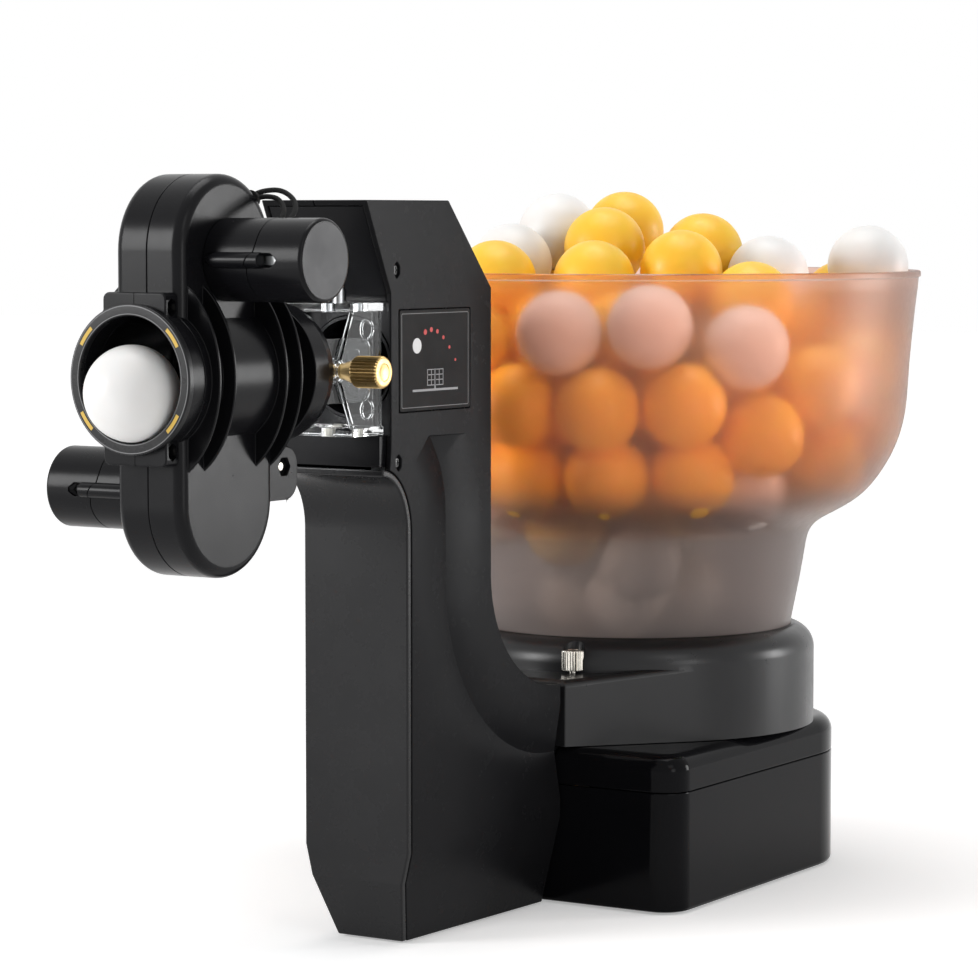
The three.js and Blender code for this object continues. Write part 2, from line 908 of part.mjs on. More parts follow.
function swingMotor() {
  const top = turretBottom - GAP;
  const can = turned("z", [
    [0, top - drive.motorLength],
    [drive.motorRadius - motor.edge, top - drive.motorLength],
    [drive.motorRadius, top - drive.motorLength + motor.edge],
    [drive.motorRadius, top],
    [0, top],
  ], [0, 0], SMALL_SIDES);
  const boreBottom = top - drive.shaftDepth - OVERRUN;
  const bore = disc("z", [0, 0], drive.motorShaft + GAP, boreBottom, top + OVERRUN, SMALL_SIDES);
  return cut(can, bore);
}

// Sections of a round duct along its path: from the feeder to the joint, or from there to the mouth.
function ductRun(radius, extra) {
  const stations = [[FEEDER_DISTANCE - chamber.radius - chamber.wall - GAP + extra, duct.runHeight, 90]];
  for (const [y, z] of arc([duct.bendY, duct.bendZ], duct.bend, duct.bend, 270, 180)) {
    stations.push([y, z, THREE.MathUtils.radToDeg(Math.atan2(duct.bendZ - z, duct.bendY - y))]);
  }
  stations.push([duct.bendY - duct.bend, ductJoint + extra, 0]);
  return loft(stations.map((place) => ductSection(radius, place)));
}

function ductElbow(radius, extra) {
  const y = duct.bendY - duct.bend;
  const centre = [y - duct.elbow, elbowStart];
  const stations = [[y, ductJoint + GAP - extra, 0]];
  for (const [a, b] of arc(centre, duct.elbow, duct.elbow, 0, 90)) {
    stations.push([a, b, THREE.MathUtils.radToDeg(Math.atan2(b - centre[1], a - centre[0]))]);
  }
  stations.push([-duct.mouth - extra, LAUNCH_HEIGHT, 90]);
  return loft(stations.map((place) => ductSection(radius, place)));
}

function ductSection(radius, [y, z, towards]) {
  const turn = THREE.MathUtils.degToRad(towards);
  return Array.from({ length: DUCT_SIDES }, (_, i) => {
    const angle = (2 * Math.PI * i) / DUCT_SIDES;
    const out = radius * Math.cos(angle);
    return [radius * Math.sin(angle), y + out * Math.cos(turn), z + out * Math.sin(turn)];
  });
}

function towerPieces() {
  const shell = geometryOf(towerShell());
  const left = named("tower_shell_left", shell, "satinBlack");
  left.scale.x = -1;
  const plate = block(
    [tower.halfWidth - label.sink + GAP / 2, tower.halfWidth + label.proud],
    [label.front, label.rear],
    labelSpan,
  );
  const headTop = tower.halfWidth - GAP;
  const headBottom = tower.halfWidth - sideScrew.depth + GAP;
  const shankEnd = turret.halfWidth - sideScrew.length + GAP;
  const screwBody = cut(
    join(
      disc("x", [0, 0], sideScrew.radius, headBottom, headTop, SMALL_SIDES),
      disc("x", [0, 0], sideScrew.shank, shankEnd, headTop, SMALL_SIDES),
    ),
    disc("x", [0, 0], sideScrew.socket, headBottom + GAP, tower.halfWidth, SOCKET_SIDES),
  );
  const screws = screwPlaces.flatMap(([y, z], row) =>
    ["right", "left"].map((side) => {
      const screw = named(`tower_screw_${side}_${row + 1}`, screwBody, "steel");
      screw.position.set(0, y, z);
      if (side === "left") screw.rotation.z = Math.PI;
      return screw;
    }),
  );
  const feet = [foot.towerX, -foot.towerX].map((x, i) => {
    const pad = disc("z", [x, foot.towerY], foot.towerRadius, 0, foot.recess - GAP, SMALL_SIDES);
    return named(`tower_foot_${i + 1}`, pad, "rubber");
  });
  return [
    named("tower_cover", towerCover(), "greyBlack"),
    named("tower_shell_right", shell, "satinBlack"),
    left,
    named("turret", turretBody(), "satinBlack"),
    named("label_plate_right", plate, "plate"),
    ...screws,
    ...feet,
    named("duct_bend", cut(ductRun(duct.outer, 0), ductRun(duct.bore, OVERRUN)), "satinBlack"),
    named("duct_elbow", cut(ductElbow(duct.outer, 0), ductElbow(duct.bore, OVERRUN)), "satinBlack"),
    groupAt(
      drive.pinionX,
      pinionY,
      0,
      named("swing_motor", swingMotor(), "steel"),
      groupAt(0, 0, 0, named("swing_pinion", pinion(), "nylon")),
    ),
  ];
}

// The clear swing frame: two flanges, a pair of cheeks that reach forward to the tilt line, and posts.
function swingFrame() {
  const s = swing;
  const tiltY = -(tilt.pivotY - s.pivotY);
  const flange = (low) => block([-s.halfWidth, s.halfWidth], [-s.front, -s.rear], [low, low + s.flange]);
  const cheekOutline = [
    [-s.postRear, -s.halfHeight],
    [-s.postRear, s.halfHeight],
    [-s.cheekFront, s.halfHeight],
    [tiltY, s.boss],
    [tiltY, -s.boss],
    [-s.cheekFront, -s.halfHeight],
  ];
  const side = (sign) => {
    const onSide = (width) => {
      const inner = s.halfWidth - width;
      return sign > 0 ? [inner, s.halfWidth] : [-s.halfWidth, -inner];
    };
    const span = onSide(s.cheek);
    const postSpan = onSide(s.postWidth);
    return join(
      prism("x", cheekOutline, ...span),
      disc("x", [tiltY, 0], s.boss, ...span, SMALL_SIDES),
      block(postSpan, [-s.postRear - s.postDepth, -s.postRear], [-s.halfHeight, s.halfHeight]),
    );
  };
  const [wide, high] = [s.halfWidth + OVERRUN, s.halfHeight + OVERRUN];
  const bore = disc("x", [tiltY, 0], knob.shank + GAP, -wide, wide, SMALL_SIDES);
  const pivot = disc("z", [0, 0], s.pin + GAP, -high, high, SMALL_SIDES);
  const body = join(flange(-s.halfHeight), flange(s.halfHeight - s.flange), side(1), side(-1));
  return cut(body, bore, pivot);
}

function swingPin() {
  const low = swing.halfHeight - swing.flange;
  return disc("z", [0, 0], swing.pin, low, low + swing.flange + swing.pinLength, SMALL_SIDES);
}

// The clear tilt yoke: a ring against the collar and two cheeks inside those of the swing frame.
function tiltYoke() {
  const t = tilt;
  const cheekOutline = rounded([
    [-t.ringFront, -t.halfHeight, GAP],
    [t.rear, -t.halfHeight, t.rearCorner],
    [t.rear, t.halfHeight, t.rearCorner],
    [-t.ringFront, t.halfHeight, GAP],
  ]);
  const right = prism("x", cheekOutline, t.cheekOuter - t.cheek, t.cheekOuter);
  const left = prism("x", cheekOutline, -t.cheekOuter, t.cheek - t.cheekOuter);
  const ring = tube("y", [0, 0], t.ringRadius, t.collarBore, -t.ringFront, t.ring - t.ringFront);
  const wide = t.cheekOuter + OVERRUN;
  const bore = disc("x", [0, 0], knob.shank + GAP, -wide, wide, SMALL_SIDES);
  return cut(join(right, left, ring), bore);
}

function collar() {
  const t = tilt;
  const rear = -t.ringFront - GAP;
  const front = rear - t.collarLength;
  return turned("y", [
    [t.collarBore, rear],
    [t.collarRadius - GAP, rear],
    [t.collarRadius, rear - motor.edge],
    [t.collarRadius, front],
    [t.spigotRadius, front],
    [t.spigotRadius, front - t.spigotLength],
    [t.collarBore, front - t.spigotLength],
  ]);
}

function clampKnob() {
  const k = knob;
  const sleeve = turned("x", [
    [0, k.inner],
    [k.shank, k.inner],
    [k.shank, swing.halfWidth + GAP],
    [k.sleeve, swing.halfWidth + GAP],
    [k.sleeve, k.headStart],
    [0, k.headStart],
  ], [0, 0], SMALL_SIDES);
  return join(sleeve, knurled("x", k.radius, k.headStart, k.headEnd, k.knurls, k.knurlDepth, k.chamfer));
}

function tiltPin() {
  const k = knob;
  const headStart = swing.halfWidth + GAP;
  return turned("x", [
    [0, -headStart - k.pinHeadLength],
    [k.pinHead - k.chamfer, -headStart - k.pinHeadLength],
    [k.pinHead, -headStart - k.pinHeadLength + k.chamfer],
    [k.pinHead, -headStart],
    [k.shank, -headStart],
    [k.shank, -k.inner],
    [0, -k.inner],
  ], [0, 0], SMALL_SIDES);
}

// Half of the head's casing, on the +X side of the seam. The other half is the same piece turned over.
function casingHalf() {
  const h = head;
  const stadium = (radius, steps) => [
    ...arc([0, h.endOffset], radius, radius, 0, 180, steps),
    ...arc([0, -h.endOffset], radius, radius, 180, 360, steps),
  ];
  const slab = softPrism("x", stadium(h.halfDepth, 2 * ARC_STEPS), -h.halfWidth, h.halfWidth, h.edge);
  const roomHalf = h.halfWidth - h.sideWall;
  const room = prism("x", stadium(h.halfDepth - h.wall, 2 * ARC_STEPS), -roomHalf, roomHalf);
  const [first, second, third, last] = h.finPlaces;
  const core = join(
    disc("y", [0, 0], h.innerBarrel, first, last),
    disc("y", [0, 0], h.barrel, second, third),
    disc("y", [0, 0], h.barrel, -h.halfDepth, first),
  );
  const finOutline = arc([0, 0], h.finX, h.finZ, 0, 360, ROUND_SIDES).slice(1);
  const finHalf = h.finThickness / 2;
  const fins = h.finPlaces.map((place) => prism("y", finOutline, place - finHalf, place + finHalf));
  const lug = (sign) => {
    const [low, high] = sign < 0 ? [-h.lugBottom, -h.lugTop] : [h.lugTop, h.lugBottom];
    const start = h.halfDepth - h.wall;
    const outline = rounded(rectangle(start, h.lugReach, low, high, h.lugCorner));
    const rootEnd = h.halfDepth + h.lugCorner;
    const rootOutline = [[start, low], [rootEnd, low], [rootEnd, high], [start, high]];
    return join(
      prism("x", outline, -h.lugHalfWidth, h.lugHalfWidth),
      prism("x", rootOutline, -h.lugHalfWidth, h.lugHalfWidth),
    );
  };
  const lugEnd = h.lugHalfWidth + OVERRUN;
  const lugHole = (sign) =>
    disc("x", [h.lugHoleY, sign * h.lugHoleZ], h.lugHole, -lugEnd, lugEnd, SMALL_SIDES);
  const sleeves = join(
    disc("x", [0, wheel.offset], motor.sleeve + GAP, h.halfWidth, h.finX + OVERRUN),
    disc("x", [-motor.sleeve, wheel.offset], motor.boss + GAP, h.halfWidth, h.finX + OVERRUN, SMALL_SIDES),
  );
  const bore = join(
    disc("y", [0, 0], h.bore, -h.halfDepth - OVERRUN, h.spigotBoreStart),
    disc("y", [0, 0], tilt.spigotRadius + GAP, h.spigotBoreStart - OVERRUN, h.halfDepth + OVERRUN),
  );
  const passage = disc("x", [0, wheel.offset], motor.passage, 0, h.halfWidth + OVERRUN, SMALL_SIDES);
  const beyond = [-h.finZ * 2, h.finZ * 2];
  const otherSide = block([-h.finX - OVERRUN, h.seam], beyond, beyond);
  const whole = join(slab, core, ...fins, lug(1), lug(-1));
  return cut(whole, room, bore, sleeves, passage, lugHole(1), lugHole(-1), otherSide);
}

function motorSleeve() {
  const m = motor;
  const start = head.halfWidth + GAP;
  const body = disc("x", [0, 0], m.sleeve, start, m.sleeveEnd);
  const boss = turned("x", [
    [0, m.bossStart - m.bossTip],
    [m.boss, m.bossStart],
    [m.boss, m.sleeveEnd],
    [0, m.sleeveEnd],
  ], [-m.sleeve, 0], SMALL_SIDES);
  return cut(join(body, boss), disc("x", [0, 0], m.sleeveBore, start - OVERRUN, m.sleeveEnd + OVERRUN));
}

function motorCap() {
  const m = motor;
  const start = m.sleeveEnd + GAP;
  const body = turned("x", [
    [0, start],
    [m.sleeve, start],
    [m.sleeve, m.capEnd - m.edge],
    [m.sleeve - m.edge, m.capEnd],
    [0, m.capEnd],
  ]);
  const boss = disc("x", [-m.sleeve, 0], m.boss, start, m.bossEnd, SMALL_SIDES);
  const notch = disc("x", [-m.sleeve, 0], m.boss, m.bossEnd, m.bossEnd + m.boss, SOCKET_SIDES);
  const bore = disc("x", [0, 0], m.sleeveBore, start - OVERRUN, m.capEnd - m.capWall);
  return cut(join(body, boss), bore, notch);
}

function wheelMotor() {
  const m = motor;
  const start = head.halfWidth + 2 * GAP;
  const can = turned("x", [
    [0, start],
    [m.radius, start],
    [m.radius, m.end - m.edge],
    [m.radius - m.edge, m.end],
    [0, m.end],
  ], [0, 0], SMALL_SIDES);
  const boreRadius = wheel.shaft + wheel.shaftClearance;
  return cut(can, disc("x", [0, 0], boreRadius, 0, wheel.shaftReach + OVERRUN, SMALL_SIDES));
}

// A wheel's hub with its shaft, dished on both sides.
function wheelHub() {
  const w = wheel;
  const rim = disc("x", [0, 0], w.hub, -w.hubHalfWidth, w.hubHalfWidth);
  const dish = (from, to) => tube("x", [0, 0], w.dishOuter, w.dishInner, from, to);
  const shaft = disc("x", [0, 0], w.shaft, -w.hubHalfWidth, w.shaftReach, SMALL_SIDES);
  const dished = cut(
    rim,
    dish(-w.hubHalfWidth - OVERRUN, w.dish - w.hubHalfWidth),
    dish(w.hubHalfWidth - w.dish, w.hubHalfWidth + OVERRUN),
  );
  return join(dished, shaft);
}

// The tyre, a little crowned across its tread.
function wheelTyre() {
  const w = wheel;
  return turned("x", [
    [w.hub + GAP / 2, -w.halfWidth],
    [w.radius - w.crown, -w.halfWidth],
    [w.radius, w.crown - w.halfWidth],
    [w.radius, w.halfWidth - w.crown],
    [w.radius - w.crown, w.halfWidth],
    [w.hub + GAP / 2, w.halfWidth],
  ]);
}

function nozzleHalf() {
  const n = nozzle;
  const rear = -head.halfDepth - GAP;
  const front = rear - n.depth;
  const outline = rounded(rectangle(-n.halfWidth, n.halfWidth, -n.halfHeight, n.halfHeight, n.corner));
  const body = join(prism("y", outline, front, rear), disc("y", [0, 0], n.collar, front, rear));
  const bore = disc("y", [0, 0], head.bore, front - OVERRUN, rear + OVERRUN);
  const middle = (front + rear) / 2;
  const hole = (z) => disc("x", [middle, z], n.screwHole, 0, n.halfWidth + OVERRUN, SMALL_SIDES);
  const otherSide = block(
    [-n.collar - OVERRUN, head.seam],
    [front - OVERRUN, rear + OVERRUN],
    [-n.halfHeight * 2, n.halfHeight * 2],
  );
  return cut(body, bore, hole(n.screwZ), hole(-n.screwZ), otherSide);
}

function nozzleRing() {
  const n = nozzle;
  const rear = -head.halfDepth - n.depth - 2 * GAP;
  const front = rear - n.ringDepth;
  return turned("y", [
    [head.bore, rear],
    [n.ringOuter, rear],
    [n.ringOuter, front + n.chamfer],
    [n.ringOuter - n.chamfer, front],
    [head.bore + n.chamfer, front],
    [head.bore, front + n.chamfer],
  ]);
}

// A hollow ball with a vent at the back, so that its inside isn't sealed.
function launchedBall() {
  const radius = ball.diameter / 2;
  const outer = solid(new THREE.SphereGeometry(radius, BALL_SIDES, BALL_SIDES / 2));
  const inner = solid(new THREE.SphereGeometry(radius - ball.skin, BALL_SIDES, BALL_SIDES / 2));
  return cut(outer, inner, disc("y", [0, 0], ball.vent, 0, radius + OVERRUN, SOCKET_SIDES));
}

function motorLead(route) {
  const curve = new THREE.CatmullRomCurve3(route.map((place) => new THREE.Vector3(...place)));
  const section = new THREE.Shape(
    Array.from({ length: lead.sides }, (_, i) => {
      const angle = (2 * Math.PI * i) / lead.sides;
      return new THREE.Vector2(lead.radius * Math.cos(angle), lead.radius * Math.sin(angle));
    }),
  );
  return solid(new THREE.ExtrudeGeometry(section, { steps: lead.steps, extrudePath: curve }));
}

function wheelAssembly(side) {
  return groupAt(
    0,
    0,
    wheel.offset,
    named(`${side}_wheel_hub`, wheelHub(), "nylon"),
    named(`${side}_wheel_tyre`, wheelTyre(), "tyre"),
  );
}

// The casing half, motor and wheel of one side, which the other side repeats turned half round.
function headSide(side, casing) {
  const drivePieces = groupAt(
    0,
    0,
    wheel.offset,
    named(`${side}_motor_sleeve`, motorSleeve(), "satinBlack"),
    named(`${side}_motor_cap`, motorCap(), "satinBlack"),
    named(`${side}_motor`, wheelMotor(), "steel"),
  );
  return groupAt(
    0,
    0,
    0,
    named(`casing_${casing}`, casingHalf(), "satinBlack"),
    named(`nozzle_block_${casing}`, nozzleHalf(), "satinBlack"),
    drivePieces,
    wheelAssembly(side),
  );
}

function headGroup() {
  const lower = headSide("lower", "left");
  lower.rotation.y = Math.PI;
  const shot = named("ball_in_nozzle", launchedBall(), "white");
  shot.position.set(0, -nozzle.ballY, ball.diameter / 2 + ball.rest - head.bore);
  return groupAt(
    0,
    -head.wheelY,
    LAUNCH_HEIGHT,
    headSide("upper", "right"),
    lower,
    named("nozzle_ring", nozzleRing(), "satinBlack"),
    ...lead.routes.map((route, i) => named(`motor_lead_${i + 1}`, motorLead(route), "rubber")),
    shot,
  );
}

function baseOutline(inset) {
  const b = base;
  const front = b.frontHalfWidth - inset;
  const rear = b.rearHalfWidth - inset;
  return rounded([
    [-front, inset - b.frontReach, b.frontCorner - inset],
    [front, inset - b.frontReach, b.frontCorner - inset],
    [rear, b.rearReach - inset, b.rearCorner - inset],
    [-rear, b.rearReach - inset, b.rearCorner - inset],
  ], ARC_STEPS);
}

// The run of the duct through the front walls of the base and of the housing's channel, wide enough
// for the duct and its clearance.
function ductPassage(from) {
  const radius = duct.outer + GAP;
  const front = Math.max(base.frontReach, channelFront) + OVERRUN;
  return disc("y", [0, duct.runHeight], radius, -front, from, DUCT_SIDES);
}

function baseTray() {
  const b = base;
  const floor = GROUND + b.wall;
  const outer = prism("z", baseOutline(0), GROUND, b.parting - GAP);
  const inner = prism("z", baseOutline(b.wall), floor, b.parting + OVERRUN);
  const tongueBottom = GROUND + tower.wall + GAP;
  const tongue = block(
    [-b.tongueHalfWidth, b.tongueHalfWidth],
    [-b.tongueFront, b.wall / 2 - b.frontReach],
    [tongueBottom, tongueBottom + b.tongueHeight],
  );
  const postTop = chamber.floorTop - chamber.floor - GAP;
  const posts = POST_TURNS.map((angle) => {
    const turn = THREE.MathUtils.degToRad(angle);
    const place = [b.postRadius * Math.cos(turn), b.postRadius * Math.sin(turn)];
    return disc("z", place, b.post, floor - b.wall / 2, postTop, SMALL_SIDES);
  });
  const motorRing = tube(
    "z",
    [0, 0],
    feedMotor.radius + GAP + b.wall,
    feedMotor.radius + GAP,
    floor - b.wall / 2,
    feedMotor.bottom + b.post,
  );
  const motorSeat = disc("z", [0, 0], feedMotor.radius, floor - b.wall / 2, feedMotor.bottom - GAP);
  const boardPosts = boardCorners().map((place) =>
    disc("z", place, board.post, floor - b.wall / 2, board.bottom - GAP, SMALL_SIDES),
  );
  const sockets = footPlaces().map((place) =>
    disc("z", place, foot.radius + GAP, 0, foot.recess, SMALL_SIDES),
  );
  const rearWall = [b.rearReach - b.wall - OVERRUN, b.rearReach + OVERRUN];
  const inletHole = disc("y", [inlet.x, inlet.z], inlet.radius + GAP, ...rearWall, SMALL_SIDES);
  const rockerHole = block(
    [rocker.x - rocker.halfWidth - GAP, rocker.x + rocker.halfWidth + GAP],
    rearWall,
    [rocker.z - rocker.halfHeight - GAP, rocker.z + rocker.halfHeight + GAP],
  );
  const body = join(cut(outer, inner), tongue, ...posts, motorRing, motorSeat, ...boardPosts);
  return cut(body, ductPassage(-b.frontReach + b.frontCorner), inletHole, rockerHole, ...sockets);
}

function baseCover() {
  const b = base;
  const outer = softPrism("z", baseOutline(0), b.parting - 2 * b.edge, b.deck, b.edge);
  const above = prism("z", baseOutline(-OVERRUN), b.parting, b.deck + OVERRUN);
  const inner = prism("z", baseOutline(b.wall), b.parting - OVERRUN, b.deck - b.wall - b.edge / 2);
  const crown = prism("z", baseOutline(b.edge), b.parting, b.deck - b.wall);
  const hole = disc("z", [0, 0], b.deckHole, b.parting, b.deck + OVERRUN, WIDE_SIDES);
  const slot = block(
    [-duct.outer - GAP, duct.outer + GAP],
    [-b.frontReach - OVERRUN, 0],
    [b.parting - OVERRUN, b.deck + OVERRUN],
  );
  return cut(outer.intersect(above), inner, crown, hole, slot);
}

// The feed housing's channel: its sides run straight from the narrow front to touch the round end.
function channelOutline(radius, halfWidth, front) {
  const reach = Math.hypot(halfWidth, front);
  const touch = Math.atan2(-front, halfWidth) + Math.acos(radius / reach);
  const [x, y] = [radius * Math.cos(touch), radius * Math.sin(touch)];
  return [[-halfWidth, -front], [halfWidth, -front], [x, y], [0, 0], [-x, y]];
}

function housingSolid(inset) {
  const h = housing;
  const bottom = base.deck + GAP - (inset > 0 ? OVERRUN : 0);
  const radius = housingRadius - inset;
  const outline = channelOutline(radius, h.channelHalfWidth - inset, channelFront - inset);
  const plan = prism("z", outline, bottom, h.shoulderStart);
  const top = [
    [-channelFront - OVERRUN, bottom - OVERRUN],
    [housingRadius + OVERRUN, bottom - OVERRUN],
    [housingRadius + OVERRUN, h.shoulderStart - inset],
    [-h.rampEnd, h.shoulderStart - inset],
    [-channelFront - OVERRUN, h.channelTop - inset],
  ];
  const channel = plan.intersect(prism("x", top, -housingRadius, housingRadius));
  if (inset > 0) {
    const vault = [
      [0, bottom],
      [radius, bottom],
      [radius, h.ledgeBottom - h.innerSlope],
      [radius - h.innerSlope, h.ledgeBottom],
      [0, h.ledgeBottom],
    ];
    return join(channel, turned("z", vault, [0, 0], WIDE_SIDES));
  }
  const crown = arc([housingRadius - h.shoulder, h.shoulderStart], h.shoulder, h.shoulder, 0, 90);
  const round = [[0, bottom], [housingRadius, bottom], ...crown, [0, h.shoulderStart + h.shoulder]];
  return join(channel, turned("z", round, [0, 0], WIDE_SIDES));
}

function feedHousing() {
  const h = housing;
  const throat = disc("z", [0, 0], h.ledgeInner, h.ledgeBottom - OVERRUN, hopper.rimTop, WIDE_SIDES);
  const mouth = disc("z", [0, 0], h.mouth, h.ledgeTop, hopper.rimTop, WIDE_SIDES);
  const screwHole = disc(
    "z",
    [thumbscrew.x, -thumbscrew.y],
    thumbscrew.shank + GAP,
    base.deck,
    thumbscrew.top,
    SMALL_SIDES,
  );
  const pad = disc(
    "z",
    [thumbscrew.x, -thumbscrew.y],
    thumbscrew.radius,
    h.channelTop - h.wall,
    thumbscrew.bottom - GAP,
    SMALL_SIDES,
  );
  const spotFace = disc(
    "z",
    [thumbscrew.x, -thumbscrew.y],
    thumbscrew.radius + GAP,
    thumbscrew.bottom - GAP,
    thumbscrew.top,
    SMALL_SIDES,
  );
  const skin = join(cut(housingSolid(0), housingSolid(h.wall)), pad);
  return cut(skin, throat, mouth, screwHole, spotFace, ductPassage(-housingRadius + h.shoulder));
}

function hopperBody() {
  const h = hopper;
  const lip = [[h.profile.at(-1)[0], h.rimBottom - GAP], [h.rim, h.rimBottom], [h.rim, h.rimTop]];
  const outer = [...h.profile, ...lip];
  const inner = h.profile.map(([radius, z]) => [radius - h.wall, z]).reverse();
  return turned("z", [...outer, [h.rim - h.rimThickness, h.rimTop], ...inner], [0, 0], WIDE_SIDES);
}

function feedChamber() {
  const c = chamber;
  const outer = c.radius + c.wall;
  const body = disc("z", [0, 0], outer, c.floorTop - c.floor, c.top, WIDE_SIDES);
  const room = disc("z", [0, 0], c.radius, c.floorTop, c.top + OVERRUN, WIDE_SIDES);
  const holeBottom = c.floorTop - c.floor - OVERRUN;
  const shaftHole = disc("z", [0, 0], rotor.shaft + GAP, holeBottom, c.floorTop + OVERRUN, SMALL_SIDES);
  const outlet = block(
    [-duct.bore, duct.bore],
    [-outer - OVERRUN, -c.radius / 2],
    [c.floorTop, duct.runHeight + duct.bore],
  );
  return cut(body, room, shaftHole, outlet);
}

// The rotor's star, drawn in all round by a wall so that the same shape makes its skin and its hollow.
function rotorStar(inset, bottom, top) {
  const r = rotor;
  const star = disc("z", [0, 0], r.radius - inset, bottom, top, WIDE_SIDES);
  const half = r.pocketHalfWidth + inset;
  const pockets = Array.from({ length: r.pockets }, (_, i) => {
    const turn = new THREE.Matrix4().makeRotationZ((2 * Math.PI * i) / r.pockets);
    const round = disc("z", [0, -r.pocketCentre], half, bottom - OVERRUN, top + OVERRUN, ROUND_SIDES);
    const mouth = block(
      [-half, half],
      [-r.radius - OVERRUN, -r.pocketCentre],
      [bottom - OVERRUN, top + OVERRUN],
    );
    return solid(geometryOf(join(round, mouth)).applyMatrix4(turn));
  });
  return cut(star, ...pockets);
}

function feedRotor() {
  const r = rotor;
  const skin = rotorStar(0, r.bottom, r.top);
  const room = rotorStar(r.wall, r.bottom - OVERRUN, r.top - r.roof);
  const core = disc("z", [0, 0], r.core, r.bottom, r.top, SMALL_SIDES);
  const cone = turned("z", [
    [0, r.top - r.roof],
    [r.coneRadius, r.top - r.roof],
    [r.coneRadius, r.top],
    [0, r.coneTop],
  ]);
  const shaft = disc("z", [0, 0], r.shaft, r.shaftBottom, r.top, SMALL_SIDES);
  return join(cut(skin, room), core, cone, shaft);
}

function feedMotorBody() {
  const f = feedMotor;
  const top = chamber.floorTop - chamber.floor - GAP;
  const can = turned("z", [
    [0, f.bottom],
    [f.radius - motor.edge, f.bottom],
    [f.radius, f.bottom + motor.edge],
    [f.radius, top],
    [0, top],
  ]);
  const boreBottom = rotor.shaftBottom - OVERRUN;
  const bore = disc("z", [0, 0], rotor.shaft + GAP, boreBottom, top + OVERRUN, SMALL_SIDES);
  return cut(can, bore);
}

function footPlaces() {
  const f = foot;
  return [[f.frontX, -f.frontY], [-f.frontX, -f.frontY], [f.rearX, f.rearY], [-f.rearX, f.rearY]];
}

function boardCorners() {
  const { postInset } = board;
  const x = [board.x + postInset, board.x + board.width - postInset];
  const y = [board.y + postInset, board.y + board.depth - postInset];
  return x.flatMap((a) => y.map((b) => [a, b]));
}

function controlBoard() {
  const b = board;
  const top = b.bottom + b.thickness;
  const chipSpan = [top - b.thickness / 2, top + b.chipHeight];
  const chip = (x, y) => block([x, x + b.chip], [y, y + b.chip], chipSpan);
  return join(
    block([b.x, b.x + b.width], [b.y, b.y + b.depth], [b.bottom, top]),
    chip(b.x + b.chip / 2, b.y + b.chip / 2),
    chip(b.x + 2 * b.chip, b.y + 2 * b.chip),
  );
}

function powerInlet() {
  const i = inlet;
  const rear = base.rearReach + GAP;
  const end = rear + i.flangeDepth;
  const body = join(
    disc("y", [0, 0], i.radius, rear - i.length, end, SMALL_SIDES),
    disc("y", [0, 0], i.flange, rear, end, SMALL_SIDES),
  );
  return cut(body, disc("y", [0, 0], i.bore, rear - i.boreDepth, end + OVERRUN, SMALL_SIDES));
}

function switchFrame() {
  const r = rocker;
  const rear = base.rearReach + GAP;
  const box = (grow, from, to) => {
    const [wide, high] = [r.halfWidth + grow, r.halfHeight + grow];
    return block([-wide, wide], [from, to], [-high, high]);
  };
  const shell = join(box(r.frame, rear, rear + r.frameDepth), box(0, rear - r.body, rear + r.frameDepth));
  return cut(shell, box(-r.rim, rear - r.body + r.frameDepth, rear + r.frameDepth + OVERRUN));
}

// The rocker: a round-backed bar cut by two faces that meet at the pivot's height.
function switchRocker() {
  const r = rocker;
  const half = r.halfWidth - r.rim - GAP;
  const faceY = r.pivotDepth + r.frameDepth;
  const reach = r.halfHeight - r.rim - 3 * GAP;
  const drop = reach * Math.tan(THREE.MathUtils.degToRad(r.tilt));
  const outline = [
    [-r.pivotDepth, -reach / 2],
    [faceY - drop / 2, -reach],
    [faceY, 0],
    [faceY - drop / 2, reach],
    [-r.pivotDepth, reach / 2],
  ];
  return prism("x", outline, -half, half);
}

function thumbscrewBody() {
  const t = thumbscrew;
  const shank = disc("z", [0, 0], t.shank, t.shankBottom, t.top - t.chamfer, SMALL_SIDES);
  return join(shank, knurled("z", t.radius, t.bottom, t.top, t.knurls, t.knurlDepth, t.chamfer));
}

function basePieces() {
  const feet = footPlaces().map(([x, y], i) => {
    const body = disc("z", [0, 0], foot.radius, 0, foot.recess - GAP, SMALL_SIDES);
    const pad = named(`rubber_foot_${i + 1}`, body, "rubber");
    pad.position.set(x, y, 0);
    return pad;
  });
  const inletPiece = named("power_inlet", powerInlet(), "satinBlack");
  inletPiece.position.set(inlet.x, 0, inlet.z);
  const frame = named("switch_frame", switchFrame(), "satinBlack");
  frame.position.set(rocker.x, 0, rocker.z);
  const rockerGroup = groupAt(
    rocker.x,
    base.rearReach + GAP - rocker.pivotDepth,
    rocker.z,
    named("switch_rocker", switchRocker(), "glossBlack"),
  );
  rockerGroup.rotation.x = THREE.MathUtils.degToRad(rocker.tilt);
  const seatRing = tube("z", [0, 0], seat.outer, seat.inner, housing.ledgeTop + GAP, seat.top, WIDE_SIDES);
  return [
    named("base_tray", baseTray(), "glossBlack"),
    named("base_cover", baseCover(), "glossBlack"),
    named("feed_housing", feedHousing(), "glossBlack"),
    named("hopper_seat", seatRing, "rubber"),
    named("hopper", hopperBody(), "smoky"),
    named("feed_chamber", feedChamber(), "satinBlack"),
    named("feed_motor", feedMotorBody(), "steel"),
    named("control_board", controlBoard(), "board"),
    named("feed_rotor", feedRotor(), "nylon"),
    groupAt(thumbscrew.x, -thumbscrew.y, 0, named("thumbscrew", thumbscrewBody(), "nickel")),
    inletPiece,
    frame,
    rockerGroup,
    ...feet,
  ];
}

